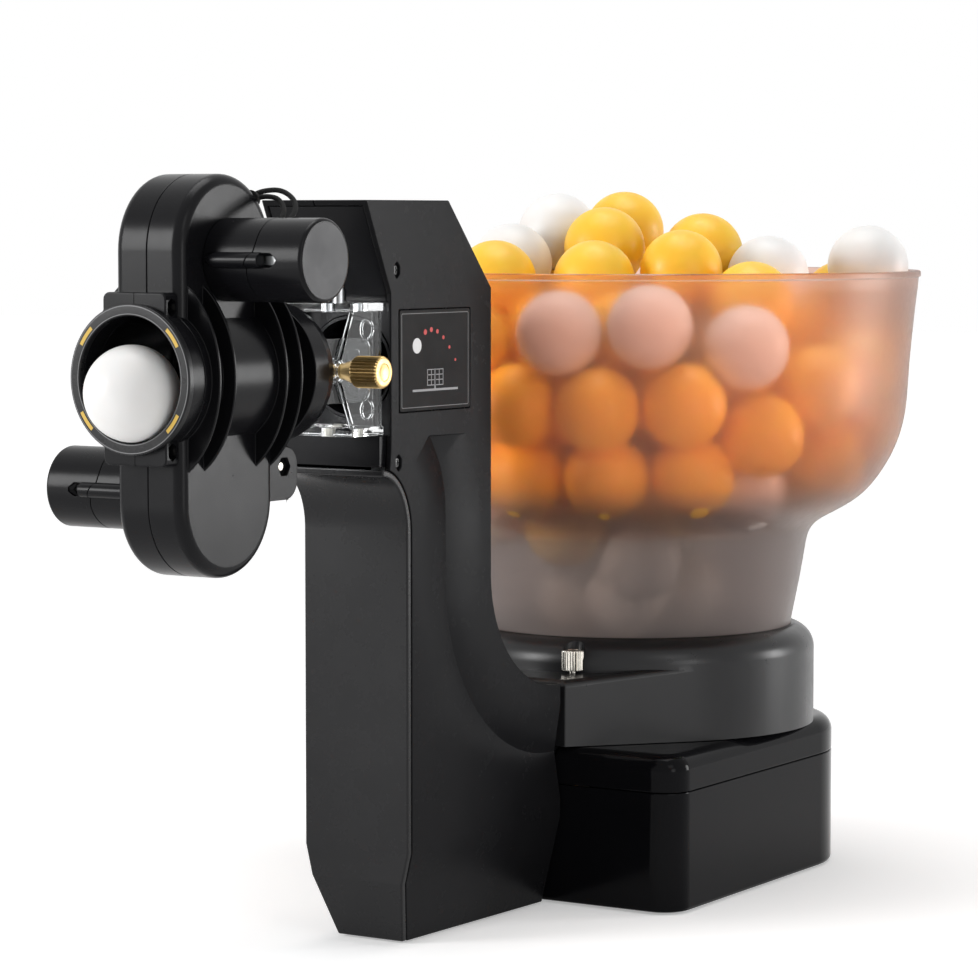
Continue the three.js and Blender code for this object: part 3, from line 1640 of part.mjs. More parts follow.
// The whole machine, with its origin under the middle of its length.
const front = head.wheelY + nozzle.ballY + ball.diameter / 2;
const rear = FEEDER_DISTANCE + hopper.rim;
const robot = groupAt(
  0,
  (front - rear) / 2,
  0,
  groupAt(0, 0, 0, ...towerPieces()),
  groupAt(0, FEEDER_DISTANCE, 0, ...basePieces()),
  groupAt(
    0,
    -swing.pivotY,
    0,
    named("swing_gear", sectorGear(), "nylon"),
    groupAt(
      0,
      0,
      LAUNCH_HEIGHT,
      named("swing_frame", swingFrame(), "clear"),
      named("swing_pin", swingPin(), "steel"),
    ),
  ),
  groupAt(
    0,
    -tilt.pivotY,
    LAUNCH_HEIGHT,
    named("tilt_yoke", tiltYoke(), "clear"),
    named("collar", collar(), "satinBlack"),
    named("tilt_pin", tiltPin(), "steel"),
    groupAt(0, 0, 0, named("clamp_knob", clampKnob(), "brass")),
  ),
  headGroup(),
);

export default robot;
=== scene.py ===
from math import acos, atan2, cos, degrees, hypot, pi, radians, sin, sqrt, tan, tanh

import bmesh
import bpy
import numpy as np
from mathutils import Matrix, Vector


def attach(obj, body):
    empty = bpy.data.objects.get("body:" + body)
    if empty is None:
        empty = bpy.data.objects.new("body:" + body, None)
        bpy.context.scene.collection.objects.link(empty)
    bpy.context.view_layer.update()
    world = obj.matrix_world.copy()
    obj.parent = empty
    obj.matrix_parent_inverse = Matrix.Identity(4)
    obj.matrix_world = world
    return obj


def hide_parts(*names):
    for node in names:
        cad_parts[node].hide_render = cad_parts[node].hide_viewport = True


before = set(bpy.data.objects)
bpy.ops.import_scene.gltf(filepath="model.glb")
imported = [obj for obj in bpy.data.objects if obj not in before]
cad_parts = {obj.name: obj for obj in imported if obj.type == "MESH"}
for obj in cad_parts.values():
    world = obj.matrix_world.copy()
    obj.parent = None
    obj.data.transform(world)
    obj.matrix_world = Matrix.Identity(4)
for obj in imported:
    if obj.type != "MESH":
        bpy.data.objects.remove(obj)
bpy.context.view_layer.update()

# A table tennis robot. Its pieces are made in millimetres, with Y counted from the tower's front face.
MM = 0.001
FRAME_SHIFT = -102.2
GAP = 0.3
OVER = 2.0
TINY = 1e-6
BALL = 20.0
GROUND = 1.0
LAUNCH = 259.0
FEEDER = 240.0
SWING_Y = -12.0
TILT_Y = -45.0
WHEEL_Y = -116.0
WHEEL_RISE = 48.5
MIRROR = Matrix.Scale(-1, 4, Vector((1, 0, 0)))
TURN_OVER = Matrix.Rotation(pi, 4, "Y")


# Making meshes

def linked(data):
    """An object in the scene for a mesh, a curve, a lamp or a camera."""
    obj = bpy.data.objects.new(data.name, data)
    bpy.context.scene.collection.objects.link(obj)
    return obj


def new_object(verts, faces):
    mesh = bpy.data.meshes.new("piece")
    mesh.from_pydata(verts, [], faces)
    shape = bmesh.new()
    shape.from_mesh(mesh)
    bmesh.ops.recalc_face_normals(shape, faces=shape.faces)
    shape.to_mesh(mesh)
    shape.free()
    return linked(mesh)


def arc(centre, ra, rb, start, end, steps=16):
    turns = [radians(start + (end - start) * i / steps) for i in range(steps + 1)]
    return [(centre[0] + ra * cos(t), centre[1] + rb * sin(t)) for t in turns]


def rounded(corners, steps=8):
    """A polygon whose corners (a, b, radius) are rounded. A radius of zero stays sharp."""
    out = []
    for i, (a, b, radius) in enumerate(corners):
        if radius <= 0:
            out.append((a, b))
            continue
        here = Vector((a, b))
        before = (Vector(corners[i - 1][:2]) - here).normalized()
        after = (Vector(corners[(i + 1) % len(corners)][:2]) - here).normalized()
        half = acos(max(-1, min(1, before.dot(after)))) / 2
        centre = here + (before + after).normalized() * (radius / sin(half))
        start = here + before * (radius / tan(half)) - centre
        end = here + after * (radius / tan(half)) - centre
        turn = atan2(start.x * end.y - start.y * end.x, start.dot(end))
        for s in range(steps + 1):
            c, d = cos(turn * s / steps), sin(turn * s / steps)
            out.append((centre.x + start.x * c - start.y * d, centre.y + start.x * d + start.y * c))
    return out


def rectangle(a0, a1, b0, b1, radius):
    return [(a0, b0, radius), (a1, b0, radius), (a1, b1, radius), (a0, b1, radius)]


def offset(outline, distance):
    """The outline moved inwards by a distance. The limit keeps a sharp corner from running far."""
    limit = 0.35
    points = [Vector(p) for p in outline]
    area = sum(p.x * q.y - q.x * p.y for p, q in zip(points, points[1:] + points[:1]))
    sign = 1 if area > 0 else -1
    moved = []
    for i, here in enumerate(points):
        u = (here - points[i - 1]).normalized()
        v = (points[(i + 1) % len(points)] - here).normalized()
        nu, nv = Vector((-u.y, u.x)) * sign, Vector((-v.y, v.x)) * sign
        bisector = nu + nv
        if bisector.length < TINY:
            moved.append(tuple(here))
            continue
        bisector.normalize()
        moved.append(tuple(here + bisector * (distance / max(bisector.dot(nu), limit))))
    return moved


def lift(axis, a, b, along):
    """A point from its two places across an axis and its place along it."""
    return {"x": (along, a, b), "y": (a, along, b), "z": (a, b, along)}[axis]


def loft(sections):
    """One closed solid through sections of the same count."""
    size = len(sections[0])
    last = (len(sections) - 1) * size
    faces = [tuple(range(size))]
    for low in range(0, last, size):
        for c in range(size):
            d = (c + 1) % size
            faces.append((low + c, low + d, low + size + d, low + size + c))
    faces.append(tuple(last + c for c in reversed(range(size))))
    return new_object([p for section in sections for p in section], faces)


def prism(axis, outline, start, end, edge=0.0, steps=3):
    """An outline carried along an axis, with both ends' edges rounded where an edge is given."""
    if edge <= 0:
        return loft([[lift(axis, a, b, along) for a, b in outline] for along in (start, end)])
    turns = [pi / 2 * i / steps for i in range(steps + 1)]
    rim = [(offset(outline, edge * (1 - sin(t))), edge * (1 - cos(t))) for t in turns]
    sections = [(line, start + depth) for line, depth in rim]
    sections += [(line, end - depth) for line, depth in reversed(rim)]
    return loft([[lift(axis, a, b, along) for a, b in line] for line, along in sections])


def turned(axis, profile, centre=(0, 0), sides=96):
    """A profile of radius and place, turned about the line through centre along an axis."""
    verts, rings, faces = [], [], []
    for radius, along in profile:
        count = 1 if radius < TINY else sides
        reach = 0 if count == 1 else radius
        rings.append(range(len(verts), len(verts) + count))
        for t in [2 * pi * i / sides for i in range(count)]:
            verts.append(lift(axis, centre[0] + reach * cos(t), centre[1] + reach * sin(t), along))
    pairs = list(zip(rings, rings[1:]))
    if len(rings[0]) > 1:
        pairs.append((rings[-1], rings[0]))
    for low, high in pairs:
        if len(low) == len(high) == 1:
            continue
        for i in range(sides):
            j = (i + 1) % sides
            corners = (low[i % len(low)], low[j % len(low)], high[j % len(high)], high[i % len(high)])
            faces.append(tuple(dict.fromkeys(corners)))
    return new_object(verts, faces)


def disc(axis, centre, radius, start, end, sides=96, edge=0.0):
    if edge <= 0:
        return turned(axis, [(0, start), (radius, start), (radius, end), (0, end)], centre, sides)
    profile = rounded([(0, start, 0), (radius, start, edge), (radius, end, edge), (0, end, 0)], 4)
    return turned(axis, profile, centre, sides)


def tube(axis, centre, outer, inner, start, end, sides=96, edge=0.0):
    return turned(axis, rounded(rectangle(inner, outer, start, end, edge), 3), centre, sides)


def block(xs, ys, zs, edge=0.0):
    return prism("z", rounded(rectangle(*xs, *ys, edge), 3), *zs, edge)


def sided(sign, inner, outer):
    """The span between two distances on one side of the middle."""
    return sorted((sign * inner, sign * outer))


def hexagon(centre, radius, turn=0.0, wide=1.0, high=1.0):
    angles = [radians(60 * i + turn) for i in range(6)]
    return [(centre[0] + wide * radius * cos(t), centre[1] + high * radius * sin(t)) for t in angles]


def ball(rows, sides):
    turns = [pi * i / rows for i in range(rows + 1)]
    return turned("z", [(BALL * sin(t), -BALL * cos(t)) for t in turns], (0, 0), sides)


def bake(obj):
    """Gives the object the mesh that its modifiers make."""
    bpy.context.view_layer.update()
    fresh = bpy.data.meshes.new_from_object(obj.evaluated_get(bpy.context.evaluated_depsgraph_get()))
    obj.modifiers.clear()
    old = obj.data
    obj.data = fresh
    bpy.data.meshes.remove(old)
    return obj


def combine(obj, tools, operation):
    for tool in tools:
        step = obj.modifiers.new("step", "BOOLEAN")
        step.operation = operation
        step.solver = "MANIFOLD"
        step.object = tool
    bake(obj)
    for tool in tools:
        bpy.data.objects.remove(tool)
    return obj


def cut(obj, *tools):
    return combine(obj, tools, "DIFFERENCE")


def join(obj, *tools):
    return combine(obj, tools, "UNION")


def meet(obj, *tools):
    return combine(obj, tools, "INTERSECT")


def together(*objs):
    """Several closed meshes in one object, without joining their skins."""
    shape = bmesh.new()
    for obj in objs:
        shape.from_mesh(obj.data)
        bpy.data.objects.remove(obj)
    mesh = bpy.data.meshes.new("piece")
    shape.to_mesh(mesh)
    shape.free()
    return linked(mesh)


def transform(obj, matrix):
    obj.data.transform(matrix)
    if matrix.determinant() < 0:
        obj.data.flip_normals()
    return obj


def copy(obj):
    return linked(obj.data.copy())


def bevelled(obj, width, segments, angle):
    step = obj.modifiers.new("edge", "BEVEL")
    step.width = width
    step.segments = segments
    step.limit_method = "ANGLE"
    step.angle_limit = radians(angle)
    return step


def soften(obj, width, segments=2, angle=35):
    """Rounds the edges that turn by more than an angle."""
    shape = bmesh.new()
    shape.from_mesh(obj.data)
    bmesh.ops.remove_doubles(shape, verts=shape.verts, dist=0.02)
    bmesh.ops.dissolve_limit(shape, angle_limit=radians(0.5), verts=shape.verts, edges=shape.edges)
    shape.to_mesh(obj.data)
    shape.free()
    step = bevelled(obj, width, segments, angle)
    step.use_clamp_overlap = False
    step.miter_outer = "MITER_ARC"
    return bake(obj)


def place(obj, name, body, material, nodes=(), at=(0, 0, 0), angle=30):
    """Puts a finished piece into the machine's frame, and says what it rides on and stands for."""
    obj.name = obj.data.name = name
    obj.data.transform(Matrix.Translation(Vector(at) + Vector((0, FRAME_SHIFT, 0))))
    obj.data.transform(Matrix.Scale(MM, 4))
    obj.data.materials.clear()
    obj.data.materials.append(material)
    obj.data.shade_smooth()
    obj.data.set_sharp_from_angle(angle=radians(angle))
    obj.modifiers.new("normals", "WEIGHTED_NORMAL").keep_sharp = True
    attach(obj, body)
    if nodes:
        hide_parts(*nodes)


# Materials

# Sockets of a node that mixes colours: its first colour, its second colour and the result
MIX_FIRST, MIX_SECOND, MIX_RESULT = 6, 7, 2


def nodes_of(name):
    material = bpy.data.materials.new(name)
    material.use_nodes = True
    tree = material.node_tree
    return material, tree, tree.nodes["Principled BSDF"]


def feed(tree, node, inputs):
    """Gives each input its value, or a link where the value is another node's output."""
    for key, value in inputs.items():
        if isinstance(value, bpy.types.NodeSocket):
            tree.links.new(value, node.inputs[key])
        else:
            node.inputs[key].default_value = value


def added(tree, kind, inputs=None, **settings):
    node = tree.nodes.new("ShaderNode" + kind)
    for key, value in settings.items():
        setattr(node, key, value)
    feed(tree, node, inputs or {})
    return node


def noise(tree, scale, detail=4.0, rough=0.55, stretch=None):
    where = added(tree, "TexCoord").outputs["Object"]
    if stretch:
        where = added(tree, "Mapping", {"Vector": where, "Scale": stretch}).outputs["Vector"]
    inputs = {"Vector": where, "Scale": scale, "Detail": detail, "Roughness": rough}
    return added(tree, "TexNoise", inputs).outputs["Fac"]


def span(tree, source, low, high, start=0.3, end=0.7):
    inputs = {"Value": source, "From Min": start, "From Max": end, "To Min": low, "To Max": high}
    return added(tree, "MapRange", inputs).outputs["Result"]


def mixed(tree, factor, first, second):
    """A mix of two colours, each a value or another node's output."""
    inputs = {"Factor": factor}
    for key, colour in ((MIX_FIRST, first), (MIX_SECOND, second)):
        inputs[key] = colour if isinstance(colour, bpy.types.NodeSocket) else (*colour, 1)
    return added(tree, "Mix", inputs, data_type="RGBA").outputs[MIX_RESULT]


def bumps(tree, height, strength, distance):
    inputs = {"Height": height, "Strength": strength, "Distance": distance}
    return added(tree, "Bump", inputs).outputs["Normal"]


def plastic(name, dark, light, rough, grain, strength, specular=0.35, coat=0.0):
    """Moulded plastic: a fine grain in the surface, with a little drift of tone and gloss."""
    material, tree, shader = nodes_of(name)
    feed(tree, shader, {
        "Base Color": mixed(tree, span(tree, noise(tree, 9, 3), 0, 1), dark, light),
        "Roughness": span(tree, noise(tree, 55, 5, 0.7), *rough),
        "Normal": bumps(tree, noise(tree, grain, 3, 0.6), strength, 0.0002),
        "Specular IOR Level": specular,
        "Coat Weight": coat,
        "Coat Roughness": 0.12,
    })
    return material


def metal(name, dark, light, rough, grain, strength, stretch=None):
    """Metal whose fine lines both roughen and raise it."""
    material, tree, shader = nodes_of(name)
    lines = noise(tree, grain, 4, 0.7, stretch)
    feed(tree, shader, {
        "Metallic": 1,
        "Base Color": mixed(tree, span(tree, noise(tree, 60, 5), 0, 1), dark, light),
        "Roughness": span(tree, lines, *rough),
        "Normal": bumps(tree, lines, strength, 0.0001),
    })
    return material


# Each one's name, its darkest and lightest tone, roughness, scale and strength of the grain, and gloss
SATIN = plastic("satin_black", (0.005, 0.005, 0.006), (0.007, 0.007, 0.008), (0.23, 0.28), 1500, 0.08, 0.12)
SHELL = plastic("shell_black", (0.009, 0.009, 0.010), (0.013, 0.013, 0.014), (0.22, 0.30), 2200, 0.14, 0.04)
COVER = plastic("cover_black", (0.009, 0.009, 0.010), (0.015, 0.015, 0.016), (0.22, 0.33), 1800, 0.12, 0.20)
# The cap grey is painted reflection: a lighter grey that stands in for the light the motor caps' flat ends
# reflect.
CAP_SHEEN = plastic("cap_painted_sheen", (0.045, 0.045, 0.048), (0.058, 0.058, 0.061), (0.36, 0.46), 1500, 0.1, 0.22)
GLOSS = plastic(
    "gloss_black", (0.004, 0.004, 0.005), (0.007, 0.007, 0.008), (0.09, 0.16), 260, 0.03, 0.05, 0.02,
)
TIER = plastic("tier_black", (0.010, 0.010, 0.011), (0.015, 0.015, 0.016), (0.26, 0.36), 900, 0.05, 0.30)
RUBBER = plastic("rubber_black", (0.010, 0.010, 0.010), (0.02, 0.02, 0.02), (0.75, 0.9), 1200, 0.3, 0.2)
NYLON = plastic("nylon", (0.62, 0.59, 0.52), (0.72, 0.69, 0.62), (0.4, 0.55), 900, 0.12, 0.4)
FOAM = plastic("tyre_foam", (0.10, 0.10, 0.09), (0.18, 0.17, 0.15), (0.85, 0.98), 700, 0.8, 0.1)
BOARD = plastic("board_green", (0.01, 0.07, 0.03), (0.02, 0.12, 0.05), (0.3, 0.5), 400, 0.3, 0.5)
PLATE = plastic("plate_black", (0.006, 0.006, 0.006), (0.009, 0.009, 0.010), (0.38, 0.5), 900, 0.05, 0.06)
BRASS = metal("brass", (0.48, 0.31, 0.11), (0.72, 0.51, 0.23), (0.26, 0.40), 900, 0.12)
NICKEL = metal("nickel", (0.58, 0.55, 0.49), (0.78, 0.75, 0.69), (0.15, 0.28), 900, 0.1)
DARK_STEEL = metal("dark_steel", (0.03, 0.03, 0.03), (0.06, 0.06, 0.06), (0.25, 0.4), 800, 0.1)
STEEL = metal("steel", (0.42, 0.43, 0.44), (0.6, 0.61, 0.62), (0.25, 0.4), 800, 0.1, (1, 1, 12))


def ball_material(name, dark, light, inner):
    """A thin matt celluloid shell that lets a little light through."""
    material, tree, shader = nodes_of(name)
    feed(tree, shader, {
        "Base Color": mixed(tree, span(tree, noise(tree, 30, 3), 0, 1), dark, light),
        "Roughness": span(tree, noise(tree, 160, 4), 0.32, 0.5),
        "Normal": bumps(tree, noise(tree, 900, 2), 0.06, 0.0001),
        "Subsurface Weight": 0.35,
        "Subsurface Radius": inner,
        "Subsurface Scale": 0.01,
        "Specular IOR Level": 0.4,
    })
    return material


WHITE_BALL = ball_material("ball_white", (0.83, 0.82, 0.80), (0.89, 0.88, 0.87), (1, 0.9, 0.85))
ORANGE_BALL = ball_material("ball_orange", (1.0, 0.55, 0.035), (1.0, 0.63, 0.05), (1, 0.45, 0.1))


def lamps_through(tree, shader, colour):
    """Lets a lamp's light pass, tinted at each surface, so that it reaches what is behind the wall."""
    lamp_light = added(tree, "LightPath").outputs["Is Shadow Ray"]
    film = added(tree, "BsdfTransparent", {"Color": (*colour, 1)}).outputs[0]
    mix = added(tree, "MixShader", {0: lamp_light, 1: shader.outputs[0], 2: film})
    feed(tree, tree.nodes["Material Output"], {"Surface": mix.outputs[0]})


def clear_material():
    material, tree, shader = nodes_of("clear_plastic")
    feed(tree, shader, {
        "Base Color": (0.97, 0.985, 0.99, 1),
        "Transmission Weight": 1,
        "IOR": 1.36,
        "Roughness": span(tree, noise(tree, 90, 3), 0.0, 0.02),
        "Normal": bumps(tree, noise(tree, 140, 3), 0.03, 0.0003),
    })
    lamps_through(tree, shader, (0.95, 0.96, 0.97))
    return material


def smoky_material():
    """Frosted smoky plastic: what touches it shows sharply, what is behind it blurs. The neck is denser."""
    neck_top, bowl_floor = 170 * MM, 198 * MM
    material, tree, shader = nodes_of("smoky_plastic")
    drift = span(tree, noise(tree, 7, 3), 0, 1)
    where = added(tree, "SeparateXYZ", {"Vector": added(tree, "TexCoord").outputs["Object"]})
    bowl = span(tree, where.outputs["Z"], 0, 1, neck_top, bowl_floor)
    slant = added(tree, "LayerWeight", {"Blend": 0.5}).outputs["Facing"]
    middle = mixed(tree, drift, (0.87, 0.585, 0.49), (0.93, 0.645, 0.55))
    side = mixed(tree, drift, (0.37, 0.25, 0.21), (0.43, 0.31, 0.265))
    neck = mixed(tree, drift, (0.32, 0.27, 0.255), (0.38, 0.33, 0.315))
    feed(tree, shader, {
        "Base Color": mixed(tree, bowl, neck, mixed(tree, span(tree, slant, 0, 1, 0.10, 0.58), middle, side)),
        "Roughness": span(tree, noise(tree, 300, 4), 0.30, 0.40),
        "Normal": bumps(tree, noise(tree, 1300, 3), 0.10, 0.0002),
        "Transmission Weight": span(tree, bowl, 0.74, 0.95, 0, 1),
        "IOR": 1.25,
    })
    lamps_through(tree, shader, (0.94, 0.89, 0.83))
    return material


CLEAR = clear_material()
SMOKY = smoky_material()


def flat_print(name, colour):
    return plastic(name, tuple(c * 0.9 for c in colour), colour, (0.4, 0.5), 700, 0.04, 0.4)


PRINT_WHITE = flat_print("print_white", (0.82, 0.82, 0.82))
PRINT_RED = flat_print("print_red", (0.62, 0.03, 0.025))
LINE_GREY = flat_print("line_grey", (0.16, 0.16, 0.165))
PRINT_GREY = flat_print("print_grey", (0.30, 0.30, 0.31))
PRINT_YELLOW = flat_print("print_yellow", (0.72, 0.46, 0.06))


# The tower

TOWER_TOP = 332.5
TOWER_REAR = 128.1
TOWER_HALF = 28.0
FOOT_HALF = 17.7
TAPER_TOP = 43.0
WALL = 2.5
COVER_DEPTH = 3.2
SHELL_FRONT = 3.5
CHIN_TOP = 29.0
CHIN_REACH = 11.1
LIP_REACH = 18.9
LIP_RISE = 25.8
LIP_AT = (-LIP_REACH, 186.0)
BROW = (-12.4, 291.7)
BROW_FOOT = 225.0
PEAK_Y = -31.3
CROWN_Y = 33.3
SLOPE_FOOT = (68.0, 293.0)
SIDE_SCREWS = [(-7.6, 302.0), (-6.6, 217.6)]
FOOT_PAD = (8.5, 26.0)
PAD_RADIUS = 5.5
# The duct's bend as Y and Z, its height in the base, its radii, and the radius of the tower's tail
BEND = (125.0, 163.0)
BEND_RADIUS = 84.0
DUCT_Z = 79.0
DUCT_OUTER = 22.5
DUCT_BORE = 21.2
DUCT_HOLE = 22.8
TAIL_RADIUS = 57.0
# The scoop: its rim, middle and fade as distances from the bend's middle, its depth in X, the riser's bend
SCOOP_RIM, SCOOP_MIDDLE, SCOOP_FADE = 67.4, 89.5, 111.0
SCOOP_X = 24.6
RISER = (-17.8, 193.0)
# The clear frame's room and the tray's tongue, which the shells leave open
FRAME_HALF_HEIGHT = 29.0
FRAME_ROOM_HALF = 26.9
FRAME_ROOM_REAR = -3.5
TONGUE_HALF = 14.5
TONGUE_LOW = GROUND + WALL + GAP
TONGUE_TOP = TONGUE_LOW + 4.2
# The label as Y and Z, and the places along X of its plate and its print
LABEL = (-6.0, 50.0, 239.8, 284.3)
PLATE_X = (27.55, 28.2)
PRINT_X = (28.1, 28.25)


def chin(z):
    return CHIN_REACH * (1 - z / CHIN_TOP)


def tower_outline():
    return [
        (SHELL_FRONT + chin(GROUND), GROUND),
        (SHELL_FRONT, CHIN_TOP),
        *arc(LIP_AT, LIP_REACH + SHELL_FRONT, LIP_RISE + SHELL_FRONT, 0, 76, 20),
        (BROW[0], BROW_FOOT),
        BROW,
        (PEAK_Y, TOWER_TOP),
        (CROWN_Y, TOWER_TOP),
        SLOPE_FOOT,
        *arc(BEND, TAIL_RADIUS, TAIL_RADIUS, 180, 270, 24),
        (TOWER_REAR, BEND[1] - TAIL_RADIUS),
        (TOWER_REAR, GROUND),
    ]


def tower_taper(wall=0.0):
    """The tower's front view as a solid, drawn in by a wall."""
    foot, half, bottom = FOOT_HALF - wall, TOWER_HALF - wall, GROUND + wall
    right = [(foot, bottom), (half, TAPER_TOP), (half, TOWER_TOP)]
    outline = right + [(-x, z) for x, z in reversed(right)]
    return prism("y", outline, PEAK_Y - OVER, TOWER_REAR + OVER)


def along_duct(points):
    """A solid along the bend and the riser. A point is a distance from the bend's middle and a place in X."""
    sections = [[(x, TOWER_REAR + OVER, BEND[1] - r) for r, x in points]]
    for angle in range(270, 176, -5):
        c, s = cos(radians(angle)), sin(radians(angle))
        sections.append([(x, BEND[0] + r * c, BEND[1] + r * s) for r, x in points])
    for angle in range(0, 48, 5):
        c, s = cos(radians(angle)), sin(radians(angle))
        reach = BEND[0] - RISER[0]
        sections.append([(x, (reach - r) * c + RISER[0], RISER[1] + (reach - r) * s) for r, x in points])
    return loft(sections)


def scoop_cut():
    top = 228
    side = TOWER_HALF + OVER
    rise = (side - SCOOP_X) / (TOWER_HALF - SCOOP_X)
    rim = SCOOP_MIDDLE - (SCOOP_MIDDLE - SCOOP_RIM) * rise
    fade = SCOOP_MIDDLE + (SCOOP_FADE - SCOOP_MIDDLE) * rise
    wedge = along_duct([(rim, side), (SCOOP_MIDDLE, SCOOP_X), (fade, side)])
    return meet(wedge, block((0, side + OVER), (PEAK_Y, TOWER_REAR + 2 * OVER), (0, top)))


def shell_hollow():
    tail = TAIL_RADIUS + WALL
    outline = [
        (PEAK_Y - OVER, GROUND + WALL),
        (PEAK_Y - OVER, TOWER_TOP - WALL),
        (CROWN_Y - WALL / 2, TOWER_TOP - WALL),
        (SLOPE_FOOT[0] - WALL, SLOPE_FOOT[1] - WALL / 2),
        *arc(BEND, tail, tail, 180, 270, 24),
        (TOWER_REAR - WALL, BEND[1] - tail),
        (TOWER_REAR - WALL, GROUND + WALL),
    ]
    hollow = meet(prism("x", outline, 0, TOWER_HALF - WALL), tower_taper(WALL))
    low, high, inner = 62, 108, 22.8
    return cut(hollow, along_duct([(low, inner), (high, inner), (high, TOWER_HALF), (low, TOWER_HALF)]))


def tower_shell():
    outer = meet(prism("x", tower_outline(), GAP / 2, TOWER_HALF), tower_taper())
    cut(outer, shell_hollow())
    cut(outer, scoop_cut())
    rear = (TOWER_REAR - WALL - OVER, TOWER_REAR + OVER)
    y0, y1, z0, z1 = LABEL
    return cut(
        outer,
        disc("y", (0, DUCT_Z), DUCT_HOLE, *rear),
        block((0, TONGUE_HALF + GAP), rear, (GROUND, TONGUE_TOP + GAP)),
        block((0, FRAME_ROOM_HALF), (BROW[0] - OVER, FRAME_ROOM_REAR), frame_room()),
        block((27.4, 30), (y0 - GAP, y1 + GAP), (z0 - GAP, z1 + GAP)),
        disc("z", FOOT_PAD, PAD_RADIUS + GAP, 0, 2, 40),
        *[prism("x", hexagon(screw, 3.2, 30, 0.75, 1.15), 26.2, 30) for screw in SIDE_SCREWS],
    )


def frame_room():
    half = FRAME_HALF_HEIGHT + GAP
    return (LAUNCH - half, LAUNCH + half)


def tower_cover():
    outline = [
        (chin(GROUND), GROUND),
        (0, CHIN_TOP),
        *arc(LIP_AT, LIP_REACH, LIP_RISE, 0, 90, 24),
        *arc(LIP_AT, LIP_REACH + COVER_DEPTH, LIP_RISE + COVER_DEPTH, 90, 0, 24),
        (COVER_DEPTH, CHIN_TOP),
        (COVER_DEPTH + chin(GROUND), GROUND),
    ]
    return meet(prism("x", outline, -TOWER_HALF, TOWER_HALF), tower_taper())


def turret_body():
    half, floor, front, inset = 25.2, 215.9, -17.5, 0.5
    roof = TOWER_TOP - WALL - GAP
    room_low, room_high = frame_room()

    def brow(z):
        slant = (BROW[0] - PEAK_Y) / (TOWER_TOP - BROW[1])
        return BROW[0] - max((z - BROW[1]) * slant, 0) + inset

    outline = [
        (front, floor),
        (0, floor),
        (0, roof),
        (brow(roof), roof),
        (brow(BROW[1]), BROW[1]),
        (brow(room_high), room_high),
        (FRAME_ROOM_REAR, room_high),
        (FRAME_ROOM_REAR, room_low),
        (front, room_low),
    ]
    gears = (217.9, 226.9)
    pin_low = 213.9
    ledge = block((1, 22.6), (FRAME_ROOM_REAR, 17.8), (floor, gears[0]))
    body = join(prism("x", outline, -half, half), ledge)
    pivot = (0, SWING_Y)
    pinion_x, gear_distance = 9, 23.75
    pinion = (pinion_x, sqrt(gear_distance ** 2 - pinion_x ** 2) + SWING_Y)
    sweep = meet(disc("z", pivot, 18.75, *gears), block((-half, half), (-14, 68), gears))
    cut(
        body, sweep,
        disc("z", pivot, 4.3, *gears),
        disc("z", pinion, 10, *gears),
        disc("z", pivot, 3.3, pin_low, roof - 2),
        disc("z", pinion, 2.6, pin_low, gears[0] + OVER),
        disc("y", (0, LAUNCH), DUCT_HOLE, -5.5, 2),
    )
    return soften(body, 0.4)


def duct_path(radius, stations, sides=64):
    """A round solid through stations of Y, Z and the turn of its section."""
    sections = []
    for y, z, towards in stations:
        c, s = cos(radians(towards)), sin(radians(towards))
        ring = [(radius * cos(t), radius * sin(t)) for t in (2 * pi * i / sides for i in range(sides))]
        sections.append([(across, y + out * c, z + out * s) for out, across in ring])
    return loft(sections)


def duct_bend(radius, extra):
    stations = [(161.7 + extra, DUCT_Z, 90)]
    for y, z in arc(BEND, BEND_RADIUS, BEND_RADIUS, 270, 180, 20):
        stations.append((y, z, degrees(atan2(BEND[1] - z, BEND[0] - y))))
    stations.append((BEND[0] - BEND_RADIUS, 190 + extra, 0))
    return duct_path(radius, stations)


def duct_elbow(radius, extra):
    reach = 30
    centre = (BEND[0] - BEND_RADIUS - reach, LAUNCH - reach)
    stations = [(BEND[0] - BEND_RADIUS, 190 + GAP - extra, 0)]
    for y, z in arc(centre, reach, reach, 0, 90, 14):
        stations.append((y, z, degrees(atan2(z - centre[1], y - centre[0]))))
    stations.append((-4 - extra, LAUNCH, 90))
    return duct_path(radius, stations)


def side_screw(y, z):
    head = [(0, 17.5), (1.45, 17.5), (1.45, 26.4), (2.0, 26.45), (2.1, 26.7), (1.9, 27.0), (0, 27.15)]
    slot, long, narrow = (26.6, 28), 1.3, 0.3
    upright = block(slot, (y - narrow, y + narrow), (z - long, z + long))
    level = block(slot, (y - long, y + long), (z - narrow, z + narrow))
    return cut(turned("x", head, (y, z), 32), level, upright)


def make_tower():
    shell = soften(tower_shell(), 0.45, 2, 38)
    mirror = transform(copy(shell), MIRROR)
    place(shell, "shell_right", "base", SHELL, ["tower_shell_right"], angle=14)
    place(mirror, "shell_left", "base", SHELL, ["tower_shell_left"], angle=14)
    place(soften(tower_cover(), 0.8, 3, 25), "front_cover", "base", COVER, ["tower_cover"], angle=14)
    place(turret_body(), "turret_block", "base", SATIN, ["turret"])
    for run, name, node in ((duct_bend, "duct_lower", "duct_bend"), (duct_elbow, "duct_upper", "duct_elbow")):
        place(cut(run(DUCT_OUTER, 0), run(DUCT_BORE, OVER)), name, "base", SATIN, [node])
    for word in ("right", "left"):
        for row, screw in enumerate(SIDE_SCREWS, 1):
            head = side_screw(*screw)
            if word == "left":
                transform(head, MIRROR)
            place(head, f"screw_{word}_{row}", "base", DARK_STEEL, [f"tower_screw_{word}_{row}"])
    for i, side in enumerate((1, -1), 1):
        pad = disc("z", (side * FOOT_PAD[0], FOOT_PAD[1]), PAD_RADIUS, 0, 1.7, 48, 0.5)
        place(pad, f"tower_pad_{i}", "base", RUBBER, [f"tower_foot_{i}"])
    make_label()


